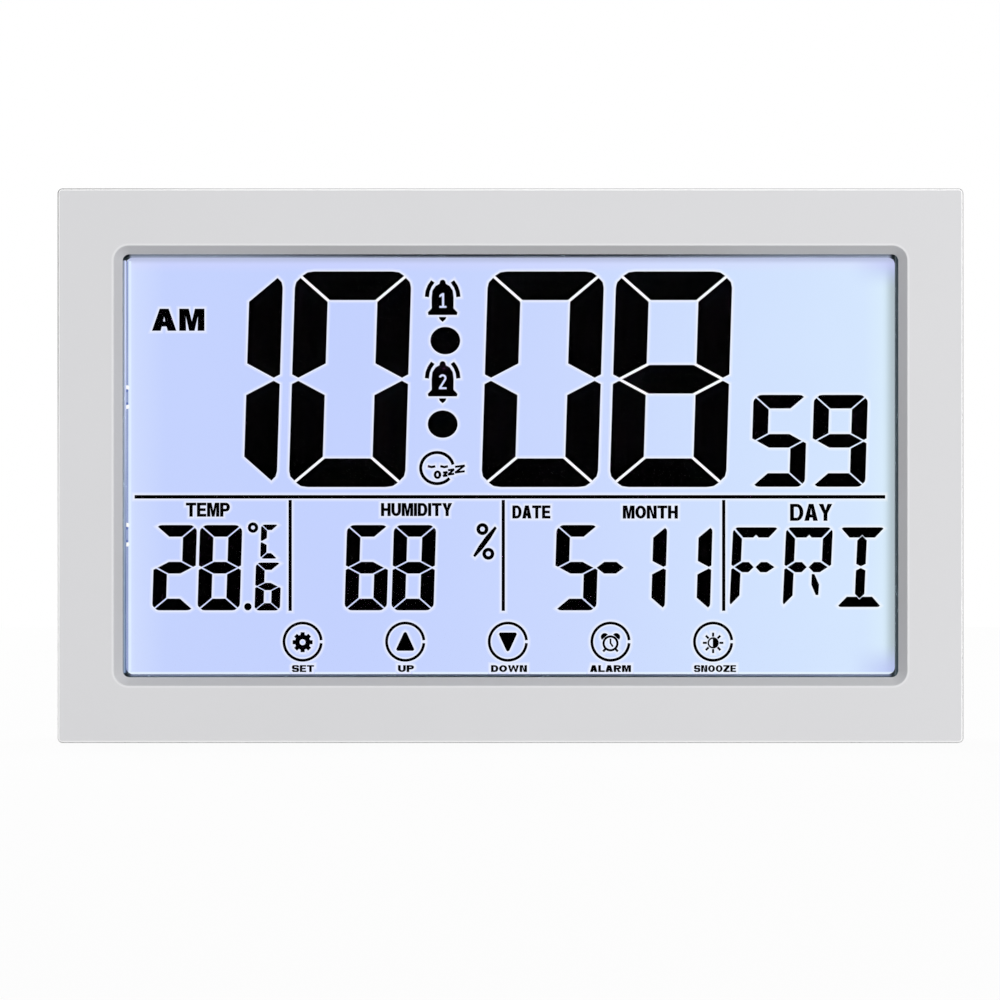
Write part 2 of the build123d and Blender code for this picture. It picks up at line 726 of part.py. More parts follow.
digit_outlines += row_of("C", unit_bars, UNIT_BARS, UNIT_PLACE, LOWER_DIGIT_PITCH)
digit_outlines += row_of("FRI", weekday_bars, LETTER_BARS, LETTER_PLACE, LETTER_PITCH, LETTER_SLANT)
dash_half = DASH_SIZE[0] / 2
dash_rise = DASH_SIZE[1] / 2
dash_flat = dash_half - DASH_POINT * dash_rise
dash_bar = {
    "-": [
        (-dash_half, 0),
        (-dash_flat, dash_rise),
        (dash_flat, dash_rise),
        (dash_half, 0),
        (dash_flat, -dash_rise),
        (-dash_flat, -dash_rise),
    ]
}
digit_outlines += place_bars(dash_bar, "-", (DASH_X, LOWER_LINE))
colon_points = []
for side in (-1, 1):
    dot_up = side * COLON_SPACING / 2
    colon_points.append(art_point((COLON_PLACE[0] + ART_SLANT * dot_up, COLON_PLACE[1] + dot_up)))
with BuildPart() as lcd_digits:
    with BuildSketch(depth_plane(cell_back)):
        for digit_outline in digit_outlines:
            Polygon(*digit_outline)
        with Locations(*colon_points):
            Ellipse(COLON_RADII[0] * art_scale, COLON_RADII[1] * art_scale)
        with Locations(art_point(POINT_PLACE)):
            Circle(POINT_RADIUS * art_scale)
    extrude(amount=CELL_GAP)
save(lcd_digits, "lcd_digits")

# Light guide and the white reflector behind it, shorter at the right to leave room for the lamps
with BuildPart() as light_guide:
    block((-glass_width / 2, guide_right), (glass_bottom, glass_top), (rear_polarizer_back, guide_back))
save(light_guide, "light_guide")

with BuildPart() as reflector_sheet:
    block((-glass_width / 2, guide_right), (glass_bottom, glass_top), (guide_back, reflector_back))
save(reflector_sheet, "reflector_sheet")

# Lamp board on edge beside the guide, with a tongue that reaches the main board, and its lamps
tongue_bottom = board_middle - LED_TONGUE_WIDTH / 2
tongue_top = board_middle + LED_TONGUE_WIDTH / 2
with BuildPart() as led_board:
    block(
        (led_board_left, led_board_left + LED_BOARD_THICKNESS),
        (middle - led_board_length / 2, tongue_top),
        (led_middle_depth - LED_BOARD_HEIGHT / 2, led_middle_depth + LED_BOARD_HEIGHT / 2),
    )
    block(
        (led_board_left, led_board_left + LED_BOARD_THICKNESS),
        (tongue_bottom, tongue_top),
        (led_middle_depth, board_back),
    )
save(led_board, "led_board")

with BuildPart() as backlight_leds:
    for led in range(LED_COUNT):
        led_z = middle + (led - (LED_COUNT - 1) / 2) * LED_PITCH
        block(
            (led_left, led_board_left),
            (led_z - LED_WIDTH / 2, led_z + LED_WIDTH / 2),
            (led_middle_depth - LED_HEIGHT / 2, led_middle_depth + LED_HEIGHT / 2),
        )
save(backlight_leds, "backlight_leds")

# White tray that holds the display and the backlight against the lens
tongue_slot_x = (led_board_left - SLOT_CLEARANCE, led_board_left + LED_BOARD_THICKNESS + SLOT_CLEARANCE)
tongue_slot_z = (tongue_bottom - SLOT_CLEARANCE, tongue_top + SLOT_CLEARANCE)
strip_half = STRIP_WIDTH / 2 + STRIP_CLEARANCE
with BuildPart() as lcd_holder:
    block(
        (-holder_half, holder_half),
        (tray_bottom - HOLDER_SIDE_WALL, tray_top + HOLDER_SIDE_WALL),
        (front_polarizer_back, holder_back),
    )
    block(
        (-tray_width / 2, tray_width / 2),
        (tray_bottom, tray_top),
        (front_polarizer_back, reflector_back),
        Mode.SUBTRACT,
    )
    block(
        (-STRIP_LENGTH / 2 - STRIP_CLEARANCE, STRIP_LENGTH / 2 + STRIP_CLEARANCE),
        (strip_middle - strip_half, strip_middle + strip_half),
        (reflector_back, holder_back),
        Mode.SUBTRACT,
    )
    block(tongue_slot_x, tongue_slot_z, (reflector_back, holder_back), Mode.SUBTRACT)
    for tab_side in (-1, 1):
        tab_z = middle + tab_side * TAB_SPACING / 2
        block(
            (-holder_half, -glass_width / 2 + TAB_HOOK),
            (tab_z - TAB_WIDTH / 2, tab_z + TAB_WIDTH / 2),
            (front_polarizer_back - TAB_THICKNESS, front_polarizer_back),
        )
    posts(ear_points, EAR_RADIUS, (ear_front, ear_back))
    for ear_x, ear_z in ear_points:
        ear_side = 1 if ear_x > 0 else -1
        ear_ends = sorted((ear_side * (holder_half - HOLDER_SIDE_WALL), ear_x))
        block(ear_ends, (ear_z - EAR_RADIUS, ear_z + EAR_RADIUS), (ear_front, ear_back))
    block(
        (-tray_width / 2, tray_width / 2),
        (tray_bottom, tray_top),
        (ear_front, reflector_back),
        Mode.SUBTRACT,
    )
    posts(ear_points, SMALL_SCREW_RADIUS + PASS_CLEARANCE, (ear_front, ear_back), Mode.SUBTRACT)
    posts(standoff_points, STANDOFF_RADIUS, (holder_back, board_front))
    pilot_end = board_front - BOARD_SCREW_BITE - THREAD_CLEARANCE
    posts(standoff_points, SMALL_SCREW_RADIUS + THREAD_CLEARANCE, (pilot_end, board_front), Mode.SUBTRACT)
save(lcd_holder, "lcd_holder")

with BuildPart() as holder_screws:
    posts(ear_points, SMALL_SCREW_HEAD_RADIUS, (ear_back, ear_back + SMALL_SCREW_HEAD))
    posts(ear_points, SMALL_SCREW_RADIUS, (ear_front - HOLDER_SCREW_BITE, ear_back))
    crosses(ear_points, SMALL_SCREW_HEAD_RADIUS, ear_back + SMALL_SCREW_HEAD)
save(holder_screws, "holder_screws")

# Rubber strip that carries the signals from the glass ledge to the main board
with BuildPart() as elastomer_strip:
    block(
        (-STRIP_LENGTH / 2, STRIP_LENGTH / 2),
        (strip_middle - STRIP_WIDTH / 2, strip_middle + STRIP_WIDTH / 2),
        (front_glass_back, board_front),
    )
save(elastomer_strip, "elastomer_strip")

# Main board on the tray's standoffs, above the battery bay
with BuildPart() as main_board:
    block((-board_half, board_half), (board_bottom, board_top), (board_front, board_back))
    block(tongue_slot_x, tongue_slot_z, (board_front, board_back), Mode.SUBTRACT)
    posts(standoff_points, SMALL_SCREW_RADIUS + PASS_CLEARANCE, (board_front, board_back), Mode.SUBTRACT)
save(main_board, "main_board")

with BuildPart() as board_screws:
    posts(standoff_points, SMALL_SCREW_HEAD_RADIUS, (board_back, board_back + SMALL_SCREW_HEAD))
    posts(standoff_points, SMALL_SCREW_RADIUS, (board_front - BOARD_SCREW_BITE, board_back))
    crosses(standoff_points, SMALL_SCREW_HEAD_RADIUS, board_back + SMALL_SCREW_HEAD)
save(board_screws, "board_screws")

# Bonded clock chip under its drop of black resin
with BuildPart() as clock_chip:
    posts([(chip_x, board_middle)], CHIP_RADIUS, (board_back, board_back + CHIP_HEIGHT))
    fillet(clock_chip.faces().sort_by(Axis.Y)[-1].edges(), CHIP_ROUND)
save(clock_chip, "clock_chip")

# Timing crystal in its can, lying on the board
with BuildPart() as timing_crystal:
    with BuildSketch(Plane.XY.offset(board_middle - CRYSTAL_LENGTH / 2)):
        with Locations((crystal_x, at_depth(board_back + CRYSTAL_RADIUS))):
            Circle(CRYSTAL_RADIUS)
    extrude(amount=CRYSTAL_LENGTH)
save(timing_crystal, "timing_crystal")

# Row of small capacitors
with BuildPart() as board_capacitors:
    for capacitor in range(CAPACITOR_COUNT):
        capacitor_x = capacitor_middle + (capacitor - (CAPACITOR_COUNT - 1) / 2) * CAPACITOR_PITCH
        block(
            (capacitor_x - CAPACITOR_WIDTH / 2, capacitor_x + CAPACITOR_WIDTH / 2),
            (board_middle - CAPACITOR_LENGTH / 2, board_middle + CAPACITOR_LENGTH / 2),
            (board_back, board_back + CAPACITOR_HEIGHT),
        )
save(board_capacitors, "board_capacitors")

# Socket for the touch film's tail
with BuildPart() as touch_socket:
    block(
        (socket_x - SOCKET_WIDTH / 2, socket_x + SOCKET_WIDTH / 2),
        (tail_middle - SOCKET_LENGTH / 2, tail_middle + SOCKET_LENGTH / 2),
        (board_back, board_back + SOCKET_HEIGHT),
    )
save(touch_socket, "touch_socket")

# Humidity plate on two legs, and the temperature bead on its leads, both behind the vents
with BuildPart() as humidity_sensor:
    plate_x = vent_x - SENSOR_SPREAD / 2
    block(
        (plate_x - SENSOR_WIDTH / 2, plate_x + SENSOR_WIDTH / 2),
        (board_middle - SENSOR_LENGTH / 2, board_middle + SENSOR_LENGTH / 2),
        (board_back + SENSOR_LIFT, board_back + SENSOR_LIFT + SENSOR_THICKNESS),
    )
    for leg_side in (-1, 1):
        leg_x = plate_x + leg_side * SENSOR_WIDTH / 4
        block(
            (leg_x - SENSOR_LEG / 2, leg_x + SENSOR_LEG / 2),
            (board_middle - SENSOR_LENGTH / 2, board_middle - SENSOR_LENGTH / 2 + SENSOR_LEG),
            (board_back, board_back + SENSOR_LIFT),
        )
save(humidity_sensor, "humidity_sensor")

with BuildPart() as temperature_bead:
    bead_x = vent_x + SENSOR_SPREAD / 2
    with Locations((bead_x, at_depth(board_back + BEAD_LIFT + BEAD_RADIUS), board_middle)):
        Sphere(BEAD_RADIUS)
    for leg_side in (-1, 1):
        leg_x = bead_x + leg_side * BEAD_RADIUS / 2
        block(
            (leg_x - SENSOR_LEG / 2, leg_x + SENSOR_LEG / 2),
            (board_middle - SENSOR_LEG / 2, board_middle + SENSOR_LEG / 2),
            (board_back, board_back + BEAD_LIFT + BEAD_RADIUS),
        )
save(temperature_bead, "temperature_bead")

# Rear case: one moulding with the battery bay, the stand's recess, the keyhole pocket and the vents
keyhole_wall = KEYHOLE_POCKET_DEPTH + RECESS_WALL
pocket_low = keyhole_entry - keyhole_pocket_radius
pocket_high = keyhole_top + keyhole_pocket_radius
vent_points = [(vent_x + (i - (VENT_COUNT - 1) / 2) * VENT_PITCH, board_middle) for i in range(VENT_COUNT)]
sounder_place = (SOUNDER_X, SOUNDER_HEIGHT)
with BuildPart() as rear_case:
    with BuildSketch(depth_plane(slope_start)):
        with Locations((0, middle)):
            RectangleRounded(WIDTH, HEIGHT, CASE_CORNER_RADIUS)
    extrude(amount=slope_start - SEAM_DEPTH)
    chamfer(rear_case.faces().sort_by(Axis.Y)[0].edges(), SEAM_CHAMFER)
    with BuildSketch(depth_plane(slope_start)):
        with Locations((0, middle)):
            RectangleRounded(WIDTH, HEIGHT, CASE_CORNER_RADIUS)
    with BuildSketch(depth_plane(depth)):
        with Locations((0, middle)):
            RectangleRounded(WIDTH - 2 * REAR_SLOPE_INSET, HEIGHT - 2 * REAR_SLOPE_INSET, CASE_CORNER_RADIUS)
    loft(ruled=True)
    block(
        (-inner_width / 2, inner_width / 2),
        (CASE_WALL, HEIGHT - CASE_WALL),
        (SEAM_DEPTH, rear_inside),
        Mode.SUBTRACT,
    )
    with BuildSketch(depth_plane(SEAM_DEPTH + LIP_HEIGHT)):
        with Locations((0, middle)):
            Rectangle(inner_width, inner_height)
            Rectangle(
                inner_width - 2 * (LIP_CLEARANCE + LIP_THICKNESS),
                inner_height - 2 * (LIP_CLEARANCE + LIP_THICKNESS),
                mode=Mode.SUBTRACT,
            )
    extrude(amount=LIP_HEIGHT)
    with BuildSketch(depth_plane(SEAM_DEPTH)):
        with Locations((0, middle)):
            lip_width = inner_width - 2 * LIP_CLEARANCE
            lip_height = inner_height - 2 * LIP_CLEARANCE
            Rectangle(lip_width, lip_height)
            Rectangle(lip_width - 2 * LIP_THICKNESS, lip_height - 2 * LIP_THICKNESS, mode=Mode.SUBTRACT)
    extrude(amount=LIP_HEIGHT)
    lip_front = SEAM_DEPTH - LIP_HEIGHT
    posts(boss_points, BOSS_RADIUS + LIP_CLEARANCE, (lip_front, SEAM_DEPTH), Mode.SUBTRACT)
    posts(boss_points, REAR_BOSS_RADIUS, (SEAM_DEPTH, rear_inside))
    block(
        (-recess_side, recess_side),
        (CASE_WALL, recess_top + RECESS_WALL),
        (recess_floor - RECESS_WALL, rear_inside),
    )
    block(
        (-keyhole_pocket_radius - RECESS_WALL, keyhole_pocket_radius + RECESS_WALL),
        (pocket_low - RECESS_WALL, min(pocket_high + RECESS_WALL, HEIGHT - CASE_WALL)),
        (rear_inside - keyhole_wall, rear_inside),
    )
    block(
        (bay_left - BAY_WALL, bay_right + BAY_WALL),
        (BAY_BOTTOM - BAY_WALL, bay_top + BAY_WALL),
        (bay_floor_front, rear_inside),
    )
    posts([sounder_place], SOUNDER_RADIUS, (rear_inside - SEAT_HEIGHT, rear_inside))
    posts(
        [sounder_place],
        SOUNDER_RADIUS - SEAT_WIDTH,
        (rear_inside - SEAT_HEIGHT, rear_inside),
        Mode.SUBTRACT,
    )
    block((-recess_half, recess_half), (-CASE_WALL, recess_top), (recess_floor, depth), Mode.SUBTRACT)
    with BuildSketch(Plane.YZ.offset(-recess_side)):
        with Locations((at_depth(hinge_depth), STAND_HINGE_HEIGHT)):
            Circle(PIN_RADIUS + PIN_SEAT_CLEARANCE)
    extrude(amount=2 * recess_side, mode=Mode.SUBTRACT)
    block(
        (-keyhole_pocket_radius, keyhole_pocket_radius),
        (pocket_low, pocket_high),
        (rear_inside - KEYHOLE_POCKET_DEPTH, rear_inside),
        Mode.SUBTRACT,
    )
    posts([(0, keyhole_entry)], KEYHOLE_RADIUS, (rear_inside, depth), Mode.SUBTRACT)
    posts([(0, keyhole_top)], KEYHOLE_SLOT_RADIUS, (rear_inside, depth), Mode.SUBTRACT)
    block(
        (-KEYHOLE_SLOT_RADIUS, KEYHOLE_SLOT_RADIUS),
        (keyhole_entry, keyhole_top),
        (rear_inside, depth),
        Mode.SUBTRACT,
    )
    block((bay_left, bay_right), (BAY_BOTTOM, bay_top), (bay_floor, depth), Mode.SUBTRACT)
    block((door_left, door_right), (door_bottom, door_top), (rear_inside, depth), Mode.SUBTRACT)
    socket_depth = STUB_LENGTH + STUB_END_GAP
    with BuildSketch(Plane.YZ.offset(door_left - socket_depth)):
        with Locations((at_depth(door_hinge_depth), door_hinge_height)):
            Circle(STUB_RADIUS + PIN_RUNNING_CLEARANCE)
    extrude(amount=door_right - door_left + 2 * socket_depth, mode=Mode.SUBTRACT)
    block(
        (bay_middle_x - SCOOP_WIDTH / 2, bay_middle_x + SCOOP_WIDTH / 2),
        (door_top + SCOOP_GAP, door_top + SCOOP_GAP + SCOOP_HEIGHT),
        (depth - SCOOP_DEPTH, depth),
        Mode.SUBTRACT,
    )
    for column_x, wall_z in ((cell_columns[0], bay_top), (cell_columns[-1], BAY_BOTTOM - BAY_WALL)):
        block(
            (
                column_x - TERMINAL_WIDTH / 2 - SLOT_CLEARANCE,
                column_x + TERMINAL_WIDTH / 2 + SLOT_CLEARANCE,
            ),
            (wall_z, wall_z + BAY_WALL),
            (terminal_depth - SLOT_CLEARANCE, terminal_depth + CONTACT_THICKNESS + SLOT_CLEARANCE),
            Mode.SUBTRACT,
        )
    with BuildSketch(depth_plane(depth)):
        with Locations(*vent_points):
            SlotOverall(VENT_HEIGHT, VENT_WIDTH, rotation=90)
        with Locations(sounder_place):
            Circle(SOUND_HOLE_RADIUS)
            with PolarLocations(SOUND_HOLE_RING, SOUND_HOLE_COUNT):
                Circle(SOUND_HOLE_RADIUS)
    extrude(amount=REAR_WALL, mode=Mode.SUBTRACT)
    head_seat = SEAM_DEPTH + CASE_SCREW_GRIP
    posts(boss_points, CASE_SCREW_RADIUS + PASS_CLEARANCE, (SEAM_DEPTH, depth), Mode.SUBTRACT)
    posts(boss_points, CASE_SCREW_HEAD_RADIUS + COUNTERBORE_CLEARANCE, (head_seat, depth), Mode.SUBTRACT)
save(rear_case, "rear_case")

with BuildPart() as case_screws:
    posts(boss_points, CASE_SCREW_HEAD_RADIUS, (head_seat, head_seat + CASE_SCREW_HEAD))
    posts(boss_points, CASE_SCREW_RADIUS, (SEAM_DEPTH - CASE_SCREW_BITE, head_seat))
    crosses(boss_points, CASE_SCREW_HEAD_RADIUS, head_seat + CASE_SCREW_HEAD)
save(case_screws, "case_screws")

# Sounder: a brass disc on its seat over the sound holes, with its ceramic element
disc_back = rear_inside - SEAT_HEIGHT
with BuildPart() as sounder_disc:
    posts([sounder_place], SOUNDER_RADIUS, (disc_back - SOUNDER_THICKNESS, disc_back))
save(sounder_disc, "sounder_disc")

element_back = disc_back - SOUNDER_THICKNESS
with BuildPart() as sounder_element:
    posts([sounder_place], ELEMENT_RADIUS, (element_back - ELEMENT_THICKNESS, element_back))
save(sounder_element, "sounder_element")


def contact(columns, spring_column, at_top, terminal_column=None):
    """Battery contact: a strip on the bay's end wall, a bowed spring for a flat end, a terminal."""
    outward = 1 if at_top else -1
    wall_z = bay_top if at_top else BAY_BOTTOM
    strip_z = sorted((wall_z, wall_z - outward * CONTACT_THICKNESS))
    block(
        (columns[0] - CONTACT_WIDTH / 2, columns[-1] + CONTACT_WIDTH / 2),
        strip_z,
        (bay_floor, bay_floor + CONTACT_HEIGHT),
    )
    if spring_column is not None:
        root_z = wall_z - outward * CONTACT_THICKNESS / 2
        bow = CONTACT_THICKNESS / 2 + SPRING_ROOM - SPRING_GAP - CONTACT_THICKNESS / 2
        with BuildSketch(Plane.YZ.offset(spring_column - SPRING_WIDTH / 2)) as spring:
            with BuildLine():
                ThreePointArc(
                    (at_depth(cell_depth - SPRING_SPAN / 2), root_z),
                    (at_depth(cell_depth), root_z - outward * bow),
                    (at_depth(cell_depth + SPRING_SPAN / 2), root_z),
                )
            trace(line_width=CONTACT_THICKNESS)
        extrude(spring.sketch, amount=SPRING_WIDTH)
        guard = sorted((wall_z, wall_z + outward * CONTACT_THICKNESS))
        block(
            (spring_column - SPRING_WIDTH, spring_column + SPRING_WIDTH),
            guard,
            (bay_floor, rear_inside),
            Mode.SUBTRACT,
        )
    if terminal_column is not None:
        terminal_end = wall_z + outward * (BAY_WALL + TERMINAL_LENGTH)
        block(
            (terminal_column - TERMINAL_WIDTH / 2, terminal_column + TERMINAL_WIDTH / 2),
            sorted((wall_z - outward * CONTACT_THICKNESS, terminal_end)),
            (terminal_depth, terminal_depth + CONTACT_THICKNESS),
        )


# Contacts that join the three cells end to end
with BuildPart() as contact_positive:
    contact([cell_columns[0]], None, True, cell_columns[0])
save(contact_positive, "contact_positive")

with BuildPart() as contact_link_bottom:
    contact(cell_columns[0:2], cell_columns[0], False)
save(contact_link_bottom, "contact_link_bottom")

with BuildPart() as contact_link_top:
    contact(cell_columns[1:3], cell_columns[1], True)
save(contact_link_top, "contact_link_top")

with BuildPart() as contact_negative:
    contact([cell_columns[2]], cell_columns[2], False, cell_columns[2])
save(contact_negative, "contact_negative")

# Three cells side by side, the middle one turned over
for cell_index, cell_x in enumerate(cell_columns):
    nub_up = cell_index % 2 == 0
    body_bottom = BAY_BOTTOM + CONTACT_THICKNESS + (SPRING_ROOM if nub_up else NUB_LENGTH)
    body_length = CELL_LENGTH - NUB_LENGTH
    nub_bottom = body_bottom + body_length if nub_up else body_bottom - NUB_LENGTH
    with BuildPart() as cell:
        with BuildSketch(Plane.XY.offset(body_bottom)):
            with Locations((cell_x, at_depth(cell_depth))):
                Circle(cell_radius)
        extrude(amount=body_length)
        fillet(cell.edges(), CELL_EDGE_RADIUS)
        with BuildSketch(Plane.XY.offset(nub_bottom)):
            with Locations((cell_x, at_depth(cell_depth))):
                Circle(NUB_DIAMETER / 2)
        extrude(amount=NUB_LENGTH)
    save(cell, f"battery_{cell_index + 1}")

# Leads from the contacts and from the sounder to the main board
lead_y = at_depth(max(terminal_depth + CONTACT_THICKNESS, board_back) + LEAD_LIFT + LEAD_RADIUS)
red_bottom = bay_top + BAY_WALL + TERMINAL_LENGTH / 2
red_top = board_bottom + STANDOFF_INSET
with BuildPart() as battery_lead_red:
    wire(
        [
            (cell_columns[0] + LEAD_RADIUS, lead_y, red_bottom),
            (cell_columns[0] - LEAD_BEND_RADIUS, lead_y, red_bottom),
            (cell_columns[0] - 2 * LEAD_BEND_RADIUS, lead_y, red_top),
        ],
        LEAD_RADIUS,
    )
save(battery_lead_red, "battery_lead_red")

black_bottom = BAY_BOTTOM - BAY_WALL - TERMINAL_LENGTH / 2
black_x = bay_right + BAY_WALL + LEAD_BEND_RADIUS
black_middle = (black_bottom + board_bottom) / 2
with BuildPart() as battery_lead_black:
    wire(
        [
            (cell_columns[-1] - LEAD_RADIUS, lead_y, black_bottom),
            (black_x, lead_y, black_bottom),
            (black_x + LEAD_BEND_RADIUS, lead_y, black_middle),
            (black_x, lead_y, red_top),
        ],
        LEAD_RADIUS,
    )
save(battery_lead_black, "battery_lead_black")

thin_start = element_back - ELEMENT_THICKNESS - LEAD_LIFT - THIN_LEAD_RADIUS
thin_end = at_depth(board_back + LEAD_LIFT + THIN_LEAD_RADIUS)
thin_middle = (SOUNDER_HEIGHT + board_bottom) / 2
with BuildPart() as sounder_leads:
    for lead_side in (-1, 1):
        thin_x = SOUNDER_X + lead_side * THIN_LEAD_SPREAD / 2
        wire(
            [
                (thin_x, at_depth(thin_start), SOUNDER_HEIGHT),
                (thin_x, at_depth(thin_start), thin_middle),
                (thin_x + LEAD_BEND_RADIUS, thin_end, board_bottom - LEAD_BEND_RADIUS),
                (thin_x + LEAD_BEND_RADIUS, thin_end, board_bottom + LEAD_BEND_RADIUS),
            ],
            THIN_LEAD_RADIUS,
        )
save(sounder_leads, "sounder_leads")

# Battery door: a plate with a rounded lower edge, its two stub pins and a thumb latch between slits
door_inside = depth - door_thickness
plate_left = door_left + DOOR_CLEARANCE
plate_right = door_right - DOOR_CLEARANCE
plate_top = door_top - DOOR_CLEARANCE
with BuildPart() as battery_door:
    block((plate_left, plate_right), (door_hinge_height, plate_top), (door_inside, depth))
    fillet(battery_door.edges().filter_by(Axis.Y).group_by(Axis.Z)[-1], DOOR_EDGE_RADIUS)
    with BuildSketch(Plane.YZ.offset(plate_left)):
        with Locations((at_depth(door_hinge_depth), door_hinge_height)):
            Circle(door_thickness / 2)
    extrude(amount=plate_right - plate_left)
    with BuildSketch(Plane.YZ.offset(door_left - STUB_LENGTH)):
        with Locations((at_depth(door_hinge_depth), door_hinge_height)):
            Circle(STUB_RADIUS)
    extrude(amount=door_right - door_left + 2 * STUB_LENGTH)
    for slit_side in (-1, 1):
        slit_x = bay_middle_x + slit_side * LATCH_WIDTH / 2
        block(
            (slit_x - LATCH_SLIT / 2, slit_x + LATCH_SLIT / 2),
            (plate_top - LATCH_LENGTH, plate_top),
            (door_inside, depth),
            Mode.SUBTRACT,
        )
    for groove in range(GROOVE_COUNT):
        groove_z = plate_top - LATCH_LENGTH / 2 + (groove - (GROOVE_COUNT - 1) / 2) * GROOVE_PITCH
        groove_half = LATCH_WIDTH / 2 - LATCH_SLIT
        block(
            (bay_middle_x - groove_half, bay_middle_x + groove_half),
            (groove_z - GROOVE_WIDTH / 2, groove_z + GROOVE_WIDTH / 2),
            (depth - GROOVE_DEPTH, depth),
            Mode.SUBTRACT,
        )
save(battery_door, "battery_door")

# Folding stand: a leaf with a hinge barrel and a heel that stops it against the recess floor
hinge_y = at_depth(hinge_depth)
leaf_out = hinge_y + BARREL_RADIUS
leaf_in = leaf_out - STAND_THICKNESS
with BuildPart() as stand:
    with BuildSketch(Plane.YZ.offset(-STAND_WIDTH / 2)):
        with Locations(((leaf_in + leaf_out) / 2, (STAND_TIP_HEIGHT + STAND_HINGE_HEIGHT) / 2)):
            Rectangle(STAND_THICKNESS, STAND_HINGE_HEIGHT - STAND_TIP_HEIGHT)
        with Locations((hinge_y, STAND_HINGE_HEIGHT)):
            Circle(BARREL_RADIUS)
        with Locations((hinge_y + (HEEL_OUTER - heel_inner) / 2, STAND_HINGE_HEIGHT + heel_height / 2)):
            Rectangle(HEEL_OUTER + heel_inner, heel_height)
        with Locations((hinge_y, STAND_HINGE_HEIGHT)):
            Circle(PIN_RADIUS + PIN_RUNNING_CLEARANCE, mode=Mode.SUBTRACT)
    extrude(amount=STAND_WIDTH)
    fillet(stand.edges().filter_by(Axis.X).group_by(Axis.Z)[0], STAND_FOOT_RADIUS)
    leaf_face = stand.faces().filter_by(GeomType.PLANE).sort_by(Axis.Y)[-1]
    fillet(leaf_face.edges().filter_by(Axis.Z), STAND_EDGE_RADIUS)
save(stand, "stand")

with BuildPart() as stand_pin:
    with BuildSketch(Plane.YZ.offset(-recess_side)):
        with Locations((hinge_y, STAND_HINGE_HEIGHT)):
            Circle(PIN_RADIUS)
    extrude(amount=2 * recess_side)
save(stand_pin, "stand_pin")
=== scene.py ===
from math import cos, pi, radians, sin

import bmesh
import bpy
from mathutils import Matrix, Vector
from mathutils.geometry import intersect_line_line_2d


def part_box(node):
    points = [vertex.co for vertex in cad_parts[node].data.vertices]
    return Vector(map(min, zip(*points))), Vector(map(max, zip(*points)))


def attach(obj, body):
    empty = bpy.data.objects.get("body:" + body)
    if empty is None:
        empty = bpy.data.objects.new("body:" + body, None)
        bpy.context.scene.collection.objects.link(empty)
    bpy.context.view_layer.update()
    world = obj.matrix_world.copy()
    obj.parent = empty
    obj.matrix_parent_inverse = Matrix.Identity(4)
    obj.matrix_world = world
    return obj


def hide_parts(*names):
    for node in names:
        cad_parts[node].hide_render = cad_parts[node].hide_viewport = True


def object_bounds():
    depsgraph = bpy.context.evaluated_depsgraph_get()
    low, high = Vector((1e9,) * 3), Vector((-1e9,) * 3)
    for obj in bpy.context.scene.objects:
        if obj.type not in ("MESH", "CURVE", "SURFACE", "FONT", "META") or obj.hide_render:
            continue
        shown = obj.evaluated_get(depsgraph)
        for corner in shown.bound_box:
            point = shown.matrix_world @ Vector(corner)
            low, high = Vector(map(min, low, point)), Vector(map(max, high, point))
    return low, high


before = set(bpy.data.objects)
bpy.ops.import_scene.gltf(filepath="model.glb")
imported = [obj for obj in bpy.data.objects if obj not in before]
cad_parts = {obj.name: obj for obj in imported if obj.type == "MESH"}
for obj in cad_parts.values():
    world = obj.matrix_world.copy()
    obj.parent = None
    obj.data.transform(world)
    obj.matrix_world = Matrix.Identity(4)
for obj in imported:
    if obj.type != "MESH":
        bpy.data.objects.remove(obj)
cad_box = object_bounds()
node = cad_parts

# Front shell: a matte light grey moulding with a flat face, a sloping rim round the window
# and straight sides. It is moulded in one piece, with the bosses for its screws behind the face.
MM = 0.001


class Value:
    """A shader socket that stands in sums: each operator adds one Math node."""

    def __init__(self, tree, socket=None):
        self.tree = tree
        self.socket = socket

    def add(self, kind, output=0, settings=None, sockets=None):
        """Any other node: type, output wanted, settings, and values or links for its sockets."""
        made = self.tree.nodes.new(kind)
        for name, value in (settings or {}).items():
            if name == "stops":
                ramp = made.color_ramp.elements
                while len(ramp) < len(value):
                    ramp.new(1.0)
                for stop, (place, colour) in zip(ramp, value):
                    stop.position = place
                    stop.color = colour
            else:
                setattr(made, name, value)
        for name, value in (sockets or {}).items():
            if isinstance(value, Value):
                self.tree.links.new(value.socket, made.inputs[name])
            else:
                made.inputs[name].default_value = value
        return Value(self.tree, made.outputs[output] if len(made.outputs) else None)

    def math(self, operation, first, second):
        return self.add("ShaderNodeMath", 0, {"operation": operation}, {0: first, 1: second})

    def __add__(self, other):
        return self.math("ADD", self, other)

    def __sub__(self, other):
        return self.math("SUBTRACT", self, other)

    def __rsub__(self, other):
        return self.math("SUBTRACT", other, self)

    def __mul__(self, other):
        return self.math("MULTIPLY", self, other)

    __radd__ = __add__
    __rmul__ = __mul__

    def __lt__(self, other):
        return self.math("LESS_THAN", self, other)

    def __gt__(self, other):
        return self.math("GREATER_THAN", self, other)

    def larger(self, other):
        return self.math("MAXIMUM", self, other)

    def magnitude(self):
        return self.math("ABSOLUTE", self, 0.0)

    def ease(self, low, high):
        """0 below low, 1 above high and a smooth step between."""
        sockets = {"Value": self, "From Min": low, "From Max": high}
        return self.add("ShaderNodeMapRange", 0, {"interpolation_type": "SMOOTHSTEP"}, sockets)

    def mix(self, first, second):
        """Colour that goes from first to second as this value goes from 0 to 1."""
        colours = {0: self, 6: first, 7: second}
        return self.add("ShaderNodeMix", 2, {"data_type": "RGBA"}, colours)


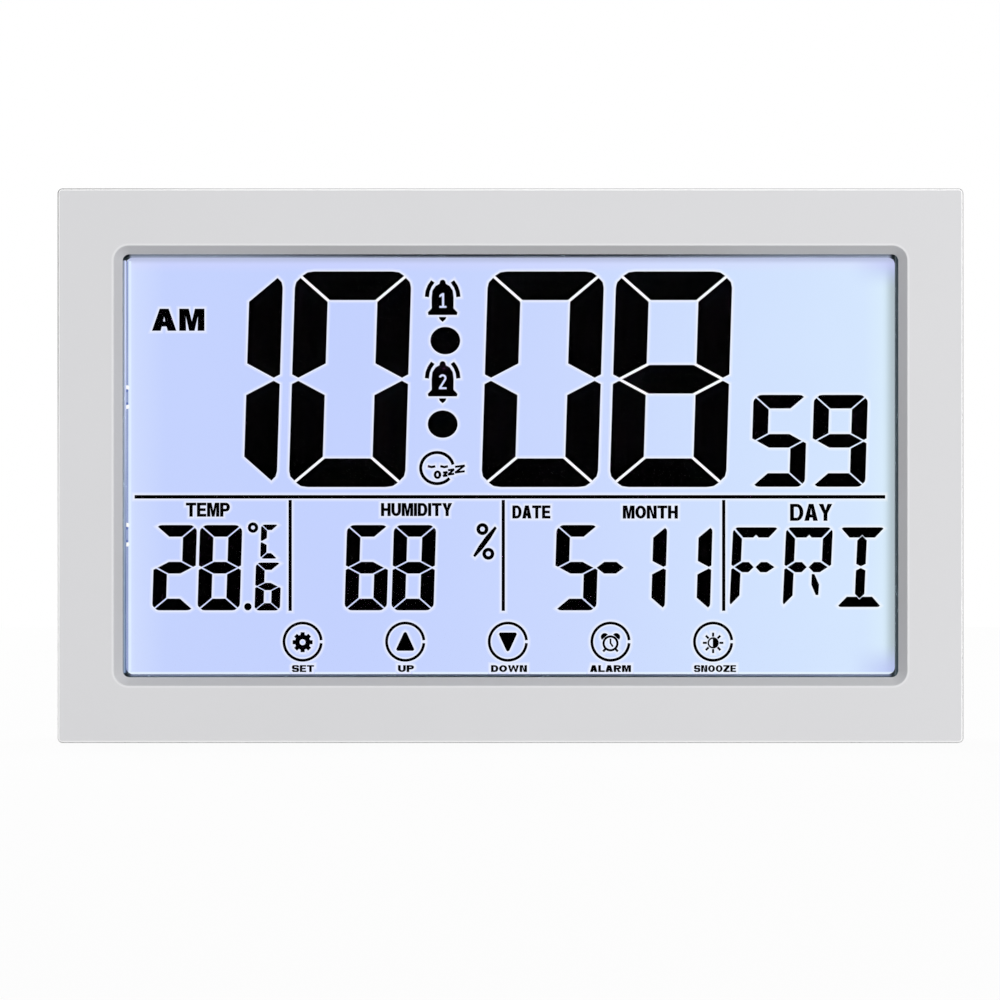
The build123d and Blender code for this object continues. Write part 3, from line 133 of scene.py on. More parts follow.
def shade(red, green, blue):
    """Colour as the eye reads it, 0 to 255, in the shader's linear terms."""
    linear = []
    for level in (red, green, blue):
        part = level / 255
        linear.append(part / 12.92 if part <= 0.04045 else ((part + 0.055) / 1.055) ** 2.4)
    return (*linear, 1.0)


def start_finish(name):
    """New material and the point where its nodes begin."""
    material = bpy.data.materials.new(name)
    material.use_nodes = True
    material.node_tree.nodes.clear()
    return material, Value(material.node_tree)


def close_finish(begin, sockets):
    """The surface shader of a material, with its sockets' values or links."""
    surface = begin.add("ShaderNodeBsdfPrincipled", "BSDF", {}, sockets)
    begin.add("ShaderNodeOutputMaterial", 0, {}, {"Surface": surface})


def place_of(begin):
    """Position on a piece in metres, in the clock's own frame."""
    return begin.add("ShaderNodeTexCoord", "Object")


def axes_of(begin):
    """X, Y and Z of that position."""
    parts = begin.add("ShaderNodeSeparateXYZ", 0, {}, {"Vector": place_of(begin)})
    return [Value(begin.tree, output) for output in parts.socket.node.outputs]


def noise(begin, grain_mm, detail):
    """Cloudy pattern whose patches are about grain_mm across."""
    sockets = {"Vector": place_of(begin), "Scale": 1 / (grain_mm * MM), "Detail": detail}
    return begin.add("ShaderNodeTexNoise", 0, {}, sockets)


def relief(begin, height, strength, depth_mm):
    """Surface whose fine relief follows a pattern."""
    sockets = {"Strength": strength, "Distance": depth_mm * MM, "Height": height}
    return begin.add("ShaderNodeBump", 0, {}, sockets)


CLOUD_MM = 28.0


def moulded_plastic(name, low, high, roughness, grain_mm, grain_depth, paint_light=None):
    """Matte moulding: a fine spark-eroded grain, soft tone clouds and slightly uneven gloss; a
    given function paints light and shade onto its colour.
    """
    material, begin = start_finish(name)
    clouds = noise(begin, CLOUD_MM, 3.0)
    grain = noise(begin, grain_mm, 3.0)
    colour = (clouds * 0.7 + grain * 0.3).mix(low, high)
    close_finish(
        begin,
        {
            "Base Color": paint_light(*axes_of(begin), colour) if paint_light else colour,
            "Roughness": roughness - 0.06 + 0.12 * grain,
            "Specular IOR Level": 0.3,
            "Normal": relief(begin, grain, 0.25, grain_depth),
        },
    )
    return material


def dress(material, *names):
    """Give CAD pieces one material."""
    for name in names:
        for slot in node[name].material_slots:
            slot.material = material


shell_low, shell_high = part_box("front_bezel")
WHITE = shade(255, 255, 255)
# Sizes of the rim, whose slope has painted shade and whose edges have painted highlights.
RIM_HALF_WIDTH = 72.3 * MM
RIM_HALF_HEIGHT = 40.1 * MM
RIM_CORNER = 2.75 * MM
LIP_DEPTH = 2.0 * MM
LINE_START = 0.05 * MM
LINE_END = (0.2 * MM, 0.5 * MM)
SLOPE_START = (-0.25 * MM, -0.1 * MM)
RIM_HIGHLIGHT_SHARE = 0.35
SLOPE_SHADE = 0.9


def rim_painted_light(x, z, depth, colour):
    """Painted shade on the rim's slope, a shade deeper than the face, with a painted highlight
    along its outer and its inner edge.
    """
    up = z - (shell_low[2] + shell_high[2]) / 2
    over_x = (x.magnitude() - (RIM_HALF_WIDTH - RIM_CORNER)).larger(0.0)
    over_z = (up.magnitude() - (RIM_HALF_HEIGHT - RIM_CORNER)).larger(0.0)
    span = over_x * over_x + over_z * over_z
    beyond = span.math("POWER", span, 0.5) - RIM_CORNER
    pale = beyond.ease(-LINE_START, LINE_START) * (1 - beyond.ease(*LINE_END))
    before_lip = 1 - depth.ease(LIP_DEPTH * 0.75, LIP_DEPTH * 0.98)
    painted_slope_shade = (1 - beyond.ease(*SLOPE_START)) * before_lip
    face = (pale * RIM_HIGHLIGHT_SHARE).mix(colour, shade(244, 244, 246))
    return (painted_slope_shade * SLOPE_SHADE).mix(face, shade(212, 212, 214))


# Widths of the painted highlight and the painted grey shade along the case's front edge, and where
# that shade is darkest.
EDGE_BAND = 0.6 * MM
BRIGHT_START = (0.0005 * MM, 0.004 * MM)
BRIGHT_END = 0.12 * MM
DARK_EXTRA = 0.03 * MM
GREY_END = 0.4 * MM
DARK_HEIGHTS = (25 * MM, 75 * MM)
DARK_PLACES = (-80 * MM, -45 * MM)
RIGHT_DARKNESS = 0.6
LOW_PALENESS = 0.75


def edge_painted_light(x, y, z, colour):
    """Painted highlight along the front edge and a painted grey shade behind it, darkest at the
    upper left.
    """
    left_edge = x < shell_low[0] + EDGE_BAND
    right_edge = x > shell_high[0] - EDGE_BAND
    low_edge = z < shell_low[2] + EDGE_BAND
    top_edge = z > shell_high[2] - EDGE_BAND
    edge = left_edge.larger(right_edge).larger(low_edge).larger(top_edge)
    upward = (z - shell_low[2]).ease(*DARK_HEIGHTS)
    upper_left = upward * (1 - x.ease(*DARK_PLACES))
    dark = upper_left.larger(right_edge * RIGHT_DARKNESS)
    depth = y - shell_low[1]
    edge_highlight = depth.ease(*BRIGHT_START) * (depth < GREY_END)
    start = BRIGHT_END - DARK_EXTRA * dark
    grey = depth.ease(start * 0.8, start * 1.3) * (1 - depth.ease(GREY_END, GREY_END * 1.3))
    grey = grey * (1 - LOW_PALENESS * low_edge) * (1 - left_edge * (1 - upper_left))
    tone = dark.mix(shade(130, 130, 133), shade(24, 24, 25))
    lined = grey.mix(edge_highlight.mix(colour, WHITE), tone)
    return edge.mix(rim_painted_light(x, z, depth, colour), lined)


# The case's colour carries painted light: a painted highlight and painted shade along its front
# edge and painted shade on the rim.
front_low = shade(214, 214, 216)
front_high = shade(219, 219, 221)
case_grey = moulded_plastic("case_grey", front_low, front_high, 0.56, 0.35, 0.02, edge_painted_light)
dress(case_grey, "front_bezel")

# Window lens: a flat sheet of clear hard acrylic behind the rim, with a coat against reflections.
# It drops into the rib behind the face and the tray presses it home.


def clear_sheet(name, ior, smear):
    """Clear sheet with a coat that hides reflections and faint wipe marks in its gloss."""
    material, begin = start_finish(name)
    wipes = noise(begin, 9.0, 4.0)
    close_finish(
        begin,
        {
            "Base Color": WHITE,
            "Roughness": smear * wipes.ease(0.5, 0.8),
            "IOR": ior,
            "Transmission Weight": 1.0,
        },
    )
    return material


dress(clear_sheet("coated_acrylic", 1.04, 0.01), "window_lens")

# Front of the display: the touch film, the front polarizer and the front glass, bonded together.
# One clear block stands for the three inside the seal's opening, where they can be seen.
window_low, window_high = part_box("light_seal")
digits_low, digits_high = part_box("lcd_digits")
SEAL_BAND = 1.6 * MM
BLOCK_GAP = 0.03 * MM
BLOCK_BEVEL = 0.05 * MM
LENS_SPACE = 0.05 * MM


def block_mesh(name, low, high, bevel):
    """Closed block with bevelled edges between two corners."""
    mesh = bpy.data.meshes.new(name)
    shape = bmesh.new()
    bmesh.ops.create_cube(shape, size=1.0)
    for vertex in shape.verts:
        for axis in range(3):
            vertex.co[axis] = high[axis] if vertex.co[axis] > 0 else low[axis]
    edges = shape.edges[:]
    bmesh.ops.bevel(shape, geom=edges, offset=bevel, segments=2, affect="EDGES", profile=0.5)
    shape.to_mesh(mesh)
    shape.free()
    return mesh


def new_object(name, data):
    """Object in the scene that holds a mesh, a curve, a lamp or a camera."""
    made = bpy.data.objects.new(name, data)
    bpy.context.scene.collection.objects.link(made)
    return made


def new_piece(name, mesh, material):
    """Scene piece with its material that moves with the case of the clock."""
    piece = new_object(name, mesh)
    mesh.materials.append(material)
    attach(piece, "case")
    return piece


lens_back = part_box("window_lens")[1][1]
inset = SEAL_BAND + BLOCK_GAP
block_low = (window_low[0] + inset, lens_back + LENS_SPACE, window_low[2] + inset)
block_high = (window_high[0] - inset, digits_low[1] - LENS_SPACE, window_high[2] - inset)
block = block_mesh("display_front", block_low, block_high, BLOCK_BEVEL)
display_front = new_piece("display_front", block, clear_sheet("bonded_glass", 1.01, 0.005))
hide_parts("touch_film", "lcd_front_polarizer", "lcd_front_glass")

# Light seal: a frame of thin dark foam that keeps the light in, cut from sheet and stuck down.
# Its inner edge shows as the dark line round the display. Light creeping under it is painted on
# the foam as glow, most at the left and least in the corners and in the middle of the top and the
# bottom.
material, begin = start_finish("seal_foam")
x, _, z = axes_of(begin)
foam = noise(begin, 0.12, 3.0)
field_left = window_low[0] + SEAL_BAND
field_right = window_high[0] - SEAL_BAND
field_low = window_low[2] + SEAL_BAND
field_high = window_high[2] - SEAL_BAND
DARK = (0.0, 0.0, 0.0, 1.0)
SEAM = 0.05 * MM
LEFT_FOOT = 0.25 * MM
LEFT_HEAD = 0.55 * MM
LEFT_FADE = 10 * MM
OUTER_STRIP = (0.44 * MM, 0.3 * MM)
INNER_STRIP = (0.24 * MM, 0.14 * MM)
# The foam's emission below is painted light: glow for the light creeping under its edges.
left_side = (x < field_left + SEAM) * (z > field_low + LEFT_FOOT) * (z < field_high - LEFT_HEAD)
upward = z.ease(field_low + LEFT_FADE, field_high - LEFT_FADE)
outer_creep = upward.mix(shade(136, 154, 182), shade(174, 182, 206))
inner_creep = upward.mix(shade(86, 106, 146), shade(206, 216, 250))
outer_strip = x.ease(field_left - OUTER_STRIP[0], field_left - OUTER_STRIP[1])
inner_strip = x.ease(field_left - INNER_STRIP[0], field_left - INNER_STRIP[1])
left_creep = inner_strip.mix(outer_strip.mix(shade(128, 135, 150), outer_creep), inner_creep)
END_PLACES = (12 * MM, 68 * MM)
CORNER_PLACES = (1.2 * MM, 0.4 * MM)
TOP_CREEP = 0.4 * MM
LOW_CREEP = (0.42 * MM, 0.12 * MM)
RIGHT_CREEP = 0.3 * MM
sideways = x.magnitude()
ends = sideways.ease(*END_PLACES)
straight = 1 - sideways.ease(field_right - CORNER_PLACES[0], field_right - CORNER_PLACES[1])
top_side = z.ease(field_high - SEAM, field_high + SEAM) * straight
top_far = ends.mix(shade(16, 20, 26), shade(112, 119, 134))
top_near = ends.mix(shade(112, 116, 134), shade(146, 154, 180))
top_creep = (1 - z.ease(field_high, field_high + TOP_CREEP)).mix(top_far, top_near)
low_side = (1 - z.ease(field_low - SEAM, field_low + SEAM)) * straight
low_far = ends.mix(DARK, shade(60, 68, 84))
low_near = ends.mix(shade(66, 72, 98), shade(116, 124, 154))
low_creep = z.ease(field_low - LOW_CREEP[0], field_low - LOW_CREEP[1]).mix(low_far, low_near)
right_side = x.ease(field_right - SEAM, field_right + SEAM)
rightward = x.ease(field_right, field_right + RIGHT_CREEP)
right_creep = rightward.mix(shade(92, 100, 106), shade(44, 52, 56))
shown = low_side.mix(top_side.mix(DARK, top_creep), low_creep)
shown = right_side.mix(shown, right_creep)
close_finish(
    begin,
    {
        "Base Color": foam.mix(shade(56, 68, 76), shade(74, 86, 94)),
        "Roughness": 0.75 + 0.2 * foam,
        "Specular IOR Level": 0.2,
        "Emission Color": left_side.mix(shown, left_creep),
        "Emission Strength": 1.0,
    },
)
dress(material, "light_seal")

# Lit field: the rear glass of the display, seen lit from behind by lamps at its right edge.
# The blue-white light is stronger to the right. A painted shadow of the rim darkens it along the
# top and the right edge and in the right-hand corners, and a painted reflection lightens a line
# along the bottom.


def field_light(begin, x):
    """Colour of the lit field from its left edge to its right one, with a painted reflection at the
    left and a painted shadow of the rim at the right.
    """
    along = (x - field_left) * (1 / (field_right - field_left))
    stops = [
        (0.0, shade(216, 229, 255)),
        (0.012, shade(206, 219, 255)),
        (0.05, shade(197, 211, 255)),
        (0.30, shade(196, 210, 255)),
        (0.44, shade(199, 213, 255)),
        (0.56, shade(202, 216, 255)),
        (0.80, shade(209, 226, 255)),
        (0.96, shade(213, 231, 255)),
        (0.984, shade(217, 236, 253)),
        (0.9895, shade(210, 229, 243)),
        (0.9946, shade(184, 201, 209)),
        (1.0, shade(172, 187, 195)),
    ]
    return begin.add("ShaderNodeValToRGB", "Color", {"stops": stops}, {"Fac": along})


CORNER_WIDTH = 9 * MM
CORNER_HEIGHT = 6 * MM
CORNER_END = 0.5 * MM
TOP_TINT = (3.0 * MM, 1.0 * MM)
TOP_SHADE = 1.3 * MM
BOTTOM_REFLECTION = (0.15 * MM, 0.5 * MM)
material, begin = start_finish("lit_field")
x, _, z = axes_of(begin)
clouds = noise(begin, 22.0, 3.0)
# Painted shadow of the rim in the right-hand corners and along the top, a lavender tint a little
# below the top, and a painted reflection along the bottom.
to_right = x.ease(field_right - CORNER_WIDTH, field_right - CORNER_END)
to_top = z.ease(field_high - CORNER_HEIGHT, field_high - CORNER_END)
to_bottom = 1 - z.ease(field_low + CORNER_END, field_low + CORNER_HEIGHT)
corners = to_right * to_top.larger(to_bottom)
near_top = z.ease(field_high - TOP_TINT[0], field_high - TOP_TINT[1])
top_shade = z.ease(field_high - TOP_SHADE, field_high)
# Painted reflection of the field in the lower rim, as a lighter line along the bottom.
bottom_reflection = 1 - z.ease(field_low + BOTTOM_REFLECTION[0], field_low + BOTTOM_REFLECTION[1])
glow = field_light(begin, x)
for region, share, tone in (
    (corners, 0.75, shade(186, 197, 246)),
    (near_top, 0.2, shade(226, 216, 255)),
    (top_shade, 0.95, shade(182, 190, 220)),
    (bottom_reflection, 0.75, shade(238, 251, 255)),
    (clouds.ease(0.35, 0.75), 0.05, shade(178, 196, 244)),
):
    glow = (region * share).mix(glow, tone)
close_finish(
    begin,
    {
        "Base Color": DARK,
        "Roughness": 0.4 + 0.1 * clouds,
        "Specular IOR Level": 0.0,
        "Emission Color": glow,
        "Emission Strength": 1.0,
    },
)
dress(material, "lcd_rear_glass")

# Dark bars of the display: the liquid crystal turned dark, between the two glasses.
# They are the time, seconds, temperature, humidity, date and weekday, and are dead black.
dark_crystal, begin = start_finish("dark_crystal")
stain = noise(begin, 1.5, 2.0)
close_finish(
    begin,
    {
        "Base Color": stain.mix((0.0003, 0.0001, 0.0005, 1.0), (0.0012, 0.0004, 0.0012, 1.0)),
        "Roughness": 0.7 + 0.2 * stain,
        "Specular IOR Level": 0.0,
    },
)
dress(dark_crystal, "lcd_digits")

# Bright fringes round the dark bars: the light that leaks past their edges inside the cell.
# Each is a bar's outline, a little wider, a hair in front of the rear glass. The gaps between
# neighbouring bars are strips of light, and the wider ones are nearly white.
FRINGE = 0.3 * MM
FAR_FRINGE = 0.55 * MM
FRINGE_DEPTH = digits_high[1] - 0.015 * MM
FAR_FRINGE_DEPTH = digits_high[1] - 0.008 * MM
GAP_DEPTH = digits_high[1] - 0.022 * MM
WIDEST_GAP = 0.51 * MM
NARROW_GAP = 0.35 * MM
SHORTEST_EDGE = 0.3 * MM
SHEET = 0.005 * MM
SAME_POINT = 0.001 * MM
MITRE_LIMIT = 1.6
TO_VIEWER = -0.9
OPPOSITE = -0.99


def signed_area(outline):
    """Positive where the outline runs anticlockwise."""
    total = 0.0
    for (x0, z0), (x1, z1) in zip(outline, outline[1:] + outline[:1]):
        total += x0 * z1 - x1 * z0
    return total / 2


def grown(outline, amount):
    """Outline moved outward by an amount, with its sharp corners kept short."""
    turn = 1 if signed_area(outline) > 0 else -1
    moved = []
    around = zip(outline[-1:] + outline[:-1], outline, outline[1:] + outline[:1])
    for before, here, after in around:
        first = (Vector(here) - Vector(before)).normalized()
        second = (Vector(after) - Vector(here)).normalized()
        first_out = Vector((first.y, -first.x)) * turn
        second_out = Vector((second.y, -second.x)) * turn
        corner = first_out + second_out
        reach = min(2 / max(corner.length_squared, 1e-6), MITRE_LIMIT)
        moved.append(tuple(Vector(here) + corner * reach * amount))
    return moved


def front_outlines(piece):
    """Closed outlines, as X and Z, of a CAD piece's faces that look at the viewer."""
    shape = bmesh.new()
    shape.from_mesh(piece.data)
    bmesh.ops.remove_doubles(shape, verts=shape.verts, dist=SAME_POINT)
    front = {face for face in shape.faces if face.normal.y < TO_VIEWER}
    ahead = {}
    for face in front:
        for loop in face.loops:
            if sum(near in front for near in loop.edge.link_faces) == 1:
                ahead[loop.vert] = loop.link_loop_next.vert
    outlines = []
    while ahead:
        start = next(iter(ahead))
        outline = []
        vertex = start
        while vertex in ahead:
            outline.append((vertex.co.x, vertex.co.z))
            vertex = ahead.pop(vertex)
        outlines.append(outline)
    shape.free()
    return outlines


def thicken(shape, amount):
    """Make flat faces that look at the viewer into closed sheets with their back further in."""
    front = shape.faces[:]
    pulled = bmesh.ops.extrude_face_region(shape, geom=front, use_keep_orig=True)["geom"]
    back = [face for face in pulled if isinstance(face, bmesh.types.BMFace)]
    for vertex in {vertex for face in back for vertex in face.verts}:
        vertex.co.y += amount
    bmesh.ops.recalc_face_normals(shape, faces=shape.faces[:])


def flat_mesh(name, outlines, depth):
    """Thin sheets whose fronts lie at one depth, one for each outline."""
    mesh = bpy.data.meshes.new(name)
    shape = bmesh.new()
    for outline in outlines:
        ordered = outline if signed_area(outline) > 0 else outline[::-1]
        shape.faces.new([shape.verts.new((x, depth, z)) for x, z in ordered])
    bmesh.ops.triangulate(shape, faces=shape.faces[:])
    thicken(shape, SHEET)
    shape.to_mesh(mesh)
    shape.free()
    return mesh


def facing_gaps(outlines, least, most):
    """Strips between straight edges of neighbouring bars that face each other across a gap."""
    edges = []
    for number, outline in enumerate(outlines):
        for start, end in zip(outline, outline[1:] + outline[:1]):
            run = Vector(end) - Vector(start)
            if run.length > SHORTEST_EDGE:
                edges.append((number, Vector(start), Vector(end), run.normalized()))
    strips = []
    for place, (number, start, end, run) in enumerate(edges):
        for other, far_start, far_end, far_run in edges[place + 1 :]:
            if other == number or run.dot(far_run) > OPPOSITE:
                continue
            along = [(point - start).dot(run) for point in (far_end, far_start)]
            across = far_end - start - run * along[0]
            shared = min(along[1], (end - start).length) - max(along[0], 0)
            if least < across.length < most and shared > SHORTEST_EDGE:
                strips.append([tuple(point) for point in (start, end, far_start, far_end)])
    return strips


def close_glow(begin, colour):
    """Surface that only gives light."""
    sockets = {"Base Color": DARK, "Specular IOR Level": 0.0}
    close_finish(begin, {**sockets, "Emission Color": colour, "Emission Strength": 1.0})


def fringe_glow(name, strength):
    """Glow of the lit field, lifted towards white, with a slow drift along it."""
    material, begin = start_finish(name)
    x, *_ = axes_of(begin)
    lift = strength - 0.04 + 0.08 * noise(begin, 6.0, 2.0)
    close_glow(begin, lift.mix(field_light(begin, x), WHITE))
    return material


near_glow = fringe_glow("near_glow", 0.5)
far_glow = fringe_glow("far_glow", 0.2)
white_glow = fringe_glow("white_glow", 0.9)
bar_outlines = front_outlines(node["lcd_digits"])
for name, reach, depth, material in (
    ("bar_fringes", FRINGE, FRINGE_DEPTH, near_glow),
    ("bar_far_fringes", FAR_FRINGE, FAR_FRINGE_DEPTH, far_glow),
):
    wider = [grown(outline, reach) for outline in bar_outlines]
    new_piece(name, flat_mesh(name, wider, depth), material)
for name, least, most, material in (
    ("bar_gaps", NARROW_GAP, WIDEST_GAP, white_glow),
    ("narrow_bar_gaps", 0.0, NARROW_GAP, far_glow),
):
    strips = facing_gaps(bar_outlines, least, most)
    new_piece(name, flat_mesh(name, strips, GAP_DEPTH), material)

# Fixed marks of the display: rules, rings, pictures and words in the same dark crystal.
# Sizes are millimetres from the middle of the display; each mark has its own bright fringe.
middle_x = (window_low[0] + window_high[0]) / 2
middle_z = (window_low[2] + window_high[2]) / 2
MARK_DEPTH = digits_low[1] + 0.02 * MM
MARK_THICKNESS = 0.04 * MM
MARK_SPREAD = 0.06
MARK_FRINGE = 0.34
MARK_FAR_FRINGE = 0.58
marks = bmesh.new()
near_fringes = bmesh.new()
far_fringes = bmesh.new()


def lay(outlines, target, depth):
    """Fill outlines, holes included, into a growing mesh at one depth."""
    curve = bpy.data.curves.new("mark", "CURVE")
    curve.dimensions = "2D"
    curve.fill_mode = "BOTH"
    for outline in outlines:
        spline = curve.splines.new("POLY")
        spline.points.add(len(outline) - 1)
        for point, (x, z) in zip(spline.points, outline):
            point.co = (x, z, 0.0, 1.0)
        spline.use_cyclic_u = True
    holder = new_object("mark", curve)
    bpy.context.view_layer.update()
    filled = bpy.data.meshes.new_from_object(holder)
    bpy.data.objects.remove(holder)
    first = len(target.verts)
    target.from_mesh(filled)
    target.verts.ensure_lookup_table()
    for vertex in target.verts[first:]:
        vertex.co = (middle_x + vertex.co.x * MM, depth, middle_z + vertex.co.y * MM)
    bpy.data.meshes.remove(filled)


def untangled(outline):
    """Outline without the loops that growing leaves at inward corners."""
    edges = list(zip(outline, outline[1:] + outline[:1]))
    for first, (start, end) in enumerate(edges):
        for second in range(first + 2, len(edges) - (first == 0)):
            crossing = intersect_line_line_2d(start, end, *edges[second])
            if crossing:
                inner = [tuple(crossing)] + outline[first + 1 : second + 1]
                outer = outline[: first + 1] + [tuple(crossing)] + outline[second + 1 :]
                return untangled(max(inner, outer, key=lambda loop: abs(signed_area(loop))))
    return outline


def runs(outline):
    """Steps from each point of an outline to the next."""
    return [Vector(end) - Vector(start) for start, end in zip(outline, outline[1:] + outline[:1])]


def shrunk_hole(hole, amount):
    """List with the hole made smaller by an amount, or empty where that closes it."""
    smaller = grown(hole, -amount)
    kept = all(before.dot(after) > 0 for before, after in zip(runs(hole), runs(smaller)))
    return [smaller] if kept else []


def mark(*outlines, spread=MARK_SPREAD, fringe=None):
    """Dark mark, holes after the first outline, and two fringes round it or another shape."""
    for reach, target, depth in (
        (spread, marks, MARK_DEPTH),
        (MARK_FRINGE, near_fringes, FRINGE_DEPTH),
        (MARK_FAR_FRINGE, far_fringes, FAR_FRINGE_DEPTH),
    ):
        shape = outlines if target is marks or not fringe else fringe
        wider = [untangled(grown(shape[0], reach))]
        for hole in shape[1:]:
            wider += shrunk_hole(hole, min(reach, MARK_FRINGE))
        lay(wider, target, depth)


def bar(low_x, low_z, high_x, high_z):
    return [(low_x, low_z), (high_x, low_z), (high_x, high_z), (low_x, high_z)]


def arc(centre_x, centre_z, radius, start, end, steps=24, squash=1.0):
    """Points along a circle from one angle to another, in degrees from 3 o'clock."""
    points = []
    for step in range(steps + 1):
        angle = radians(start + (end - start) * step / steps)
        points.append((centre_x + radius * cos(angle), centre_z + radius * squash * sin(angle)))
    return points


def ribbon(points, width):
    """Outline of a line of even width along some points."""
    left = []
    right = []
    for index, point in enumerate(points):
        before = Vector(points[max(index - 1, 0)])
        after = Vector(points[min(index + 1, len(points) - 1)])
        run = (after - before).normalized()
        side = Vector((-run.y, run.x)) * (width / 2)
        left.append(tuple(Vector(point) + side))
        right.append(tuple(Vector(point) - side))
    return left + right[::-1]


def disc(centre_x, centre_z, radius, steps=32):
    return arc(centre_x, centre_z, radius, 0, 360 - 360 / steps, steps - 1)


def ring(centre_x, centre_z, radii):
    return [disc(centre_x, centre_z, radius) for radius in radii]


RULE = 0.48
RULE_HEIGHT = -5.67
UPRIGHT_LOW = -26.5
UPRIGHT_HIGH = -6.3
mark(bar(-68.8, RULE_HEIGHT - RULE * 0.55, 68.6, RULE_HEIGHT + RULE * 0.55))
for rule_x in (-40.35, -1.31, 39.07):
    mark(bar(rule_x - RULE / 2, UPRIGHT_LOW, rule_x + RULE / 2, UPRIGHT_HIGH))

KEY_FIRST = -38.07
KEY_HEIGHT = -32.2
KEY_PITCH = 18.8
KEY_RADIUS = 3.42
KEY_LINE = 0.4
KEY_GAP = 5.5
RING_STEPS = 48
keys = [KEY_FIRST + KEY_PITCH * index for index in range(5)]
for key_x in keys:
    ring_path = arc(key_x, KEY_HEIGHT, KEY_RADIUS, KEY_GAP, 360 - KEY_GAP, RING_STEPS)
    whole_ring = []
    for radius in (KEY_RADIUS + KEY_LINE / 2, KEY_RADIUS - KEY_LINE / 2):
        whole_ring.append(disc(key_x, KEY_HEIGHT, radius, RING_STEPS))
    mark(ribbon(ring_path, KEY_LINE), fringe=whole_ring)

GEAR_TEETH = 8
GEAR_TOOTH = ((-14, 1.36), (-10, 1.8), (10, 1.8), (14, 1.36))
GEAR_HOLE = 0.6
gear = []
gear_z = KEY_HEIGHT - 0.1
for tooth in range(GEAR_TEETH):
    for turn, radius in GEAR_TOOTH:
        angle = radians(tooth * 360 / GEAR_TEETH + 90 + turn)
        gear.append((keys[0] + radius * cos(angle), gear_z + radius * sin(angle)))
mark(gear, disc(keys[0], gear_z, GEAR_HOLE))

ARROW = [(-1.42, -1.62), (1.42, -1.62), (1.6, -1.4), (0.22, 1.6), (0.0, 1.72)]
ARROW += [(-0.22, 1.6), (-1.6, -1.4)]
for key_x, way in ((keys[1], 1), (keys[2], -1)):
    mark([(key_x + x, KEY_HEIGHT + way * z) for x, z in ARROW])


def spoke(centre_x, centre_z, angle, start, end):
    """Ends of a line that points away from a centre."""
    ends = (start, end)
    return [(centre_x + reach * cos(angle), centre_z + reach * sin(angle)) for reach in ends]


CLOCK_RING = (1.42, 1.12)
HANDS = (((0.0, 0.82), (0.0, 0.0)), ((0.0, 0.05), (0.4, -0.55)))
HAND_WIDTH = 0.2
EAR_ANGLES = (48, 132)
EAR_REACH = 1.58
EAR_RADIUS = 0.66
FOOT = (1.35, 1.95)
FOOT_WIDTH = 0.3
clock_x = keys[3]
clock_z = KEY_HEIGHT - 0.31
mark(*ring(clock_x, clock_z, CLOCK_RING))
for hand in HANDS:
    mark(ribbon([(clock_x + x, clock_z + z) for x, z in hand], HAND_WIDTH))
for way in EAR_ANGLES:
    ear_x = clock_x + EAR_REACH * cos(radians(way))
    ear_z = clock_z + EAR_REACH * sin(radians(way))
    mark(arc(ear_x, ear_z, EAR_RADIUS, way - 90, way + 90, 10))
    mark(ribbon(spoke(clock_x, clock_z, radians(-way), *FOOT), FOOT_WIDTH))

SUN_RADIUS = 0.88
SUN_LINE = 0.18
SUN_DARK_HALF = 0.98
RAYS = 8
RAY = (1.16, 1.86)
RAY_WIDTH = 0.36
RAY_SPREAD = 0.02
sun_x = keys[4]
sun_z = KEY_HEIGHT - 0.22
mark(ribbon(arc(sun_x, sun_z, SUN_RADIUS, 84, 276, 20), SUN_LINE))
mark(arc(sun_x, sun_z, SUN_DARK_HALF, -90, 90, 16))
for ray in range(RAYS):
    line = spoke(sun_x, sun_z, radians(ray * 360 / RAYS), *RAY)
    mark(ribbon(line, RAY_WIDTH), spread=RAY_SPREAD)

BELL_X = -12.42
BELL_SIDE = [(0.52, 2.52), (1.25, 2.12), (1.82, 1.25), (1.96, 0.0), (1.94, -1.95)]
BELL_SIDE += [(2.66, -2.7), (2.56, -3.1)]
CLAPPER = [(-0.6, -3.58), (0.6, -3.58), (0.5, -3.9), (0.0, -4.35), (-0.5, -3.9)]
SWING = [(1.82, 2.95), (2.4, 2.1), (2.75, 1.2), (2.88, 0.2)]
SWING_WIDTH = 0.66
for bell_z in (30.8, 15.89):
    knob = arc(BELL_X, bell_z + 2.74, 0.5, 0, 180, 8)
    left_bell = [(BELL_X - x, bell_z + z) for x, z in BELL_SIDE]
    right_bell = [(BELL_X + x, bell_z + z) for x, z in BELL_SIDE[::-1]]
    mark(knob + left_bell + right_bell)
    mark([(BELL_X + x, bell_z + z) for x, z in CLAPPER])
    for side in (-1, 1):
        mark(ribbon([(BELL_X + side * x, bell_z + z) for x, z in SWING], SWING_WIDTH))

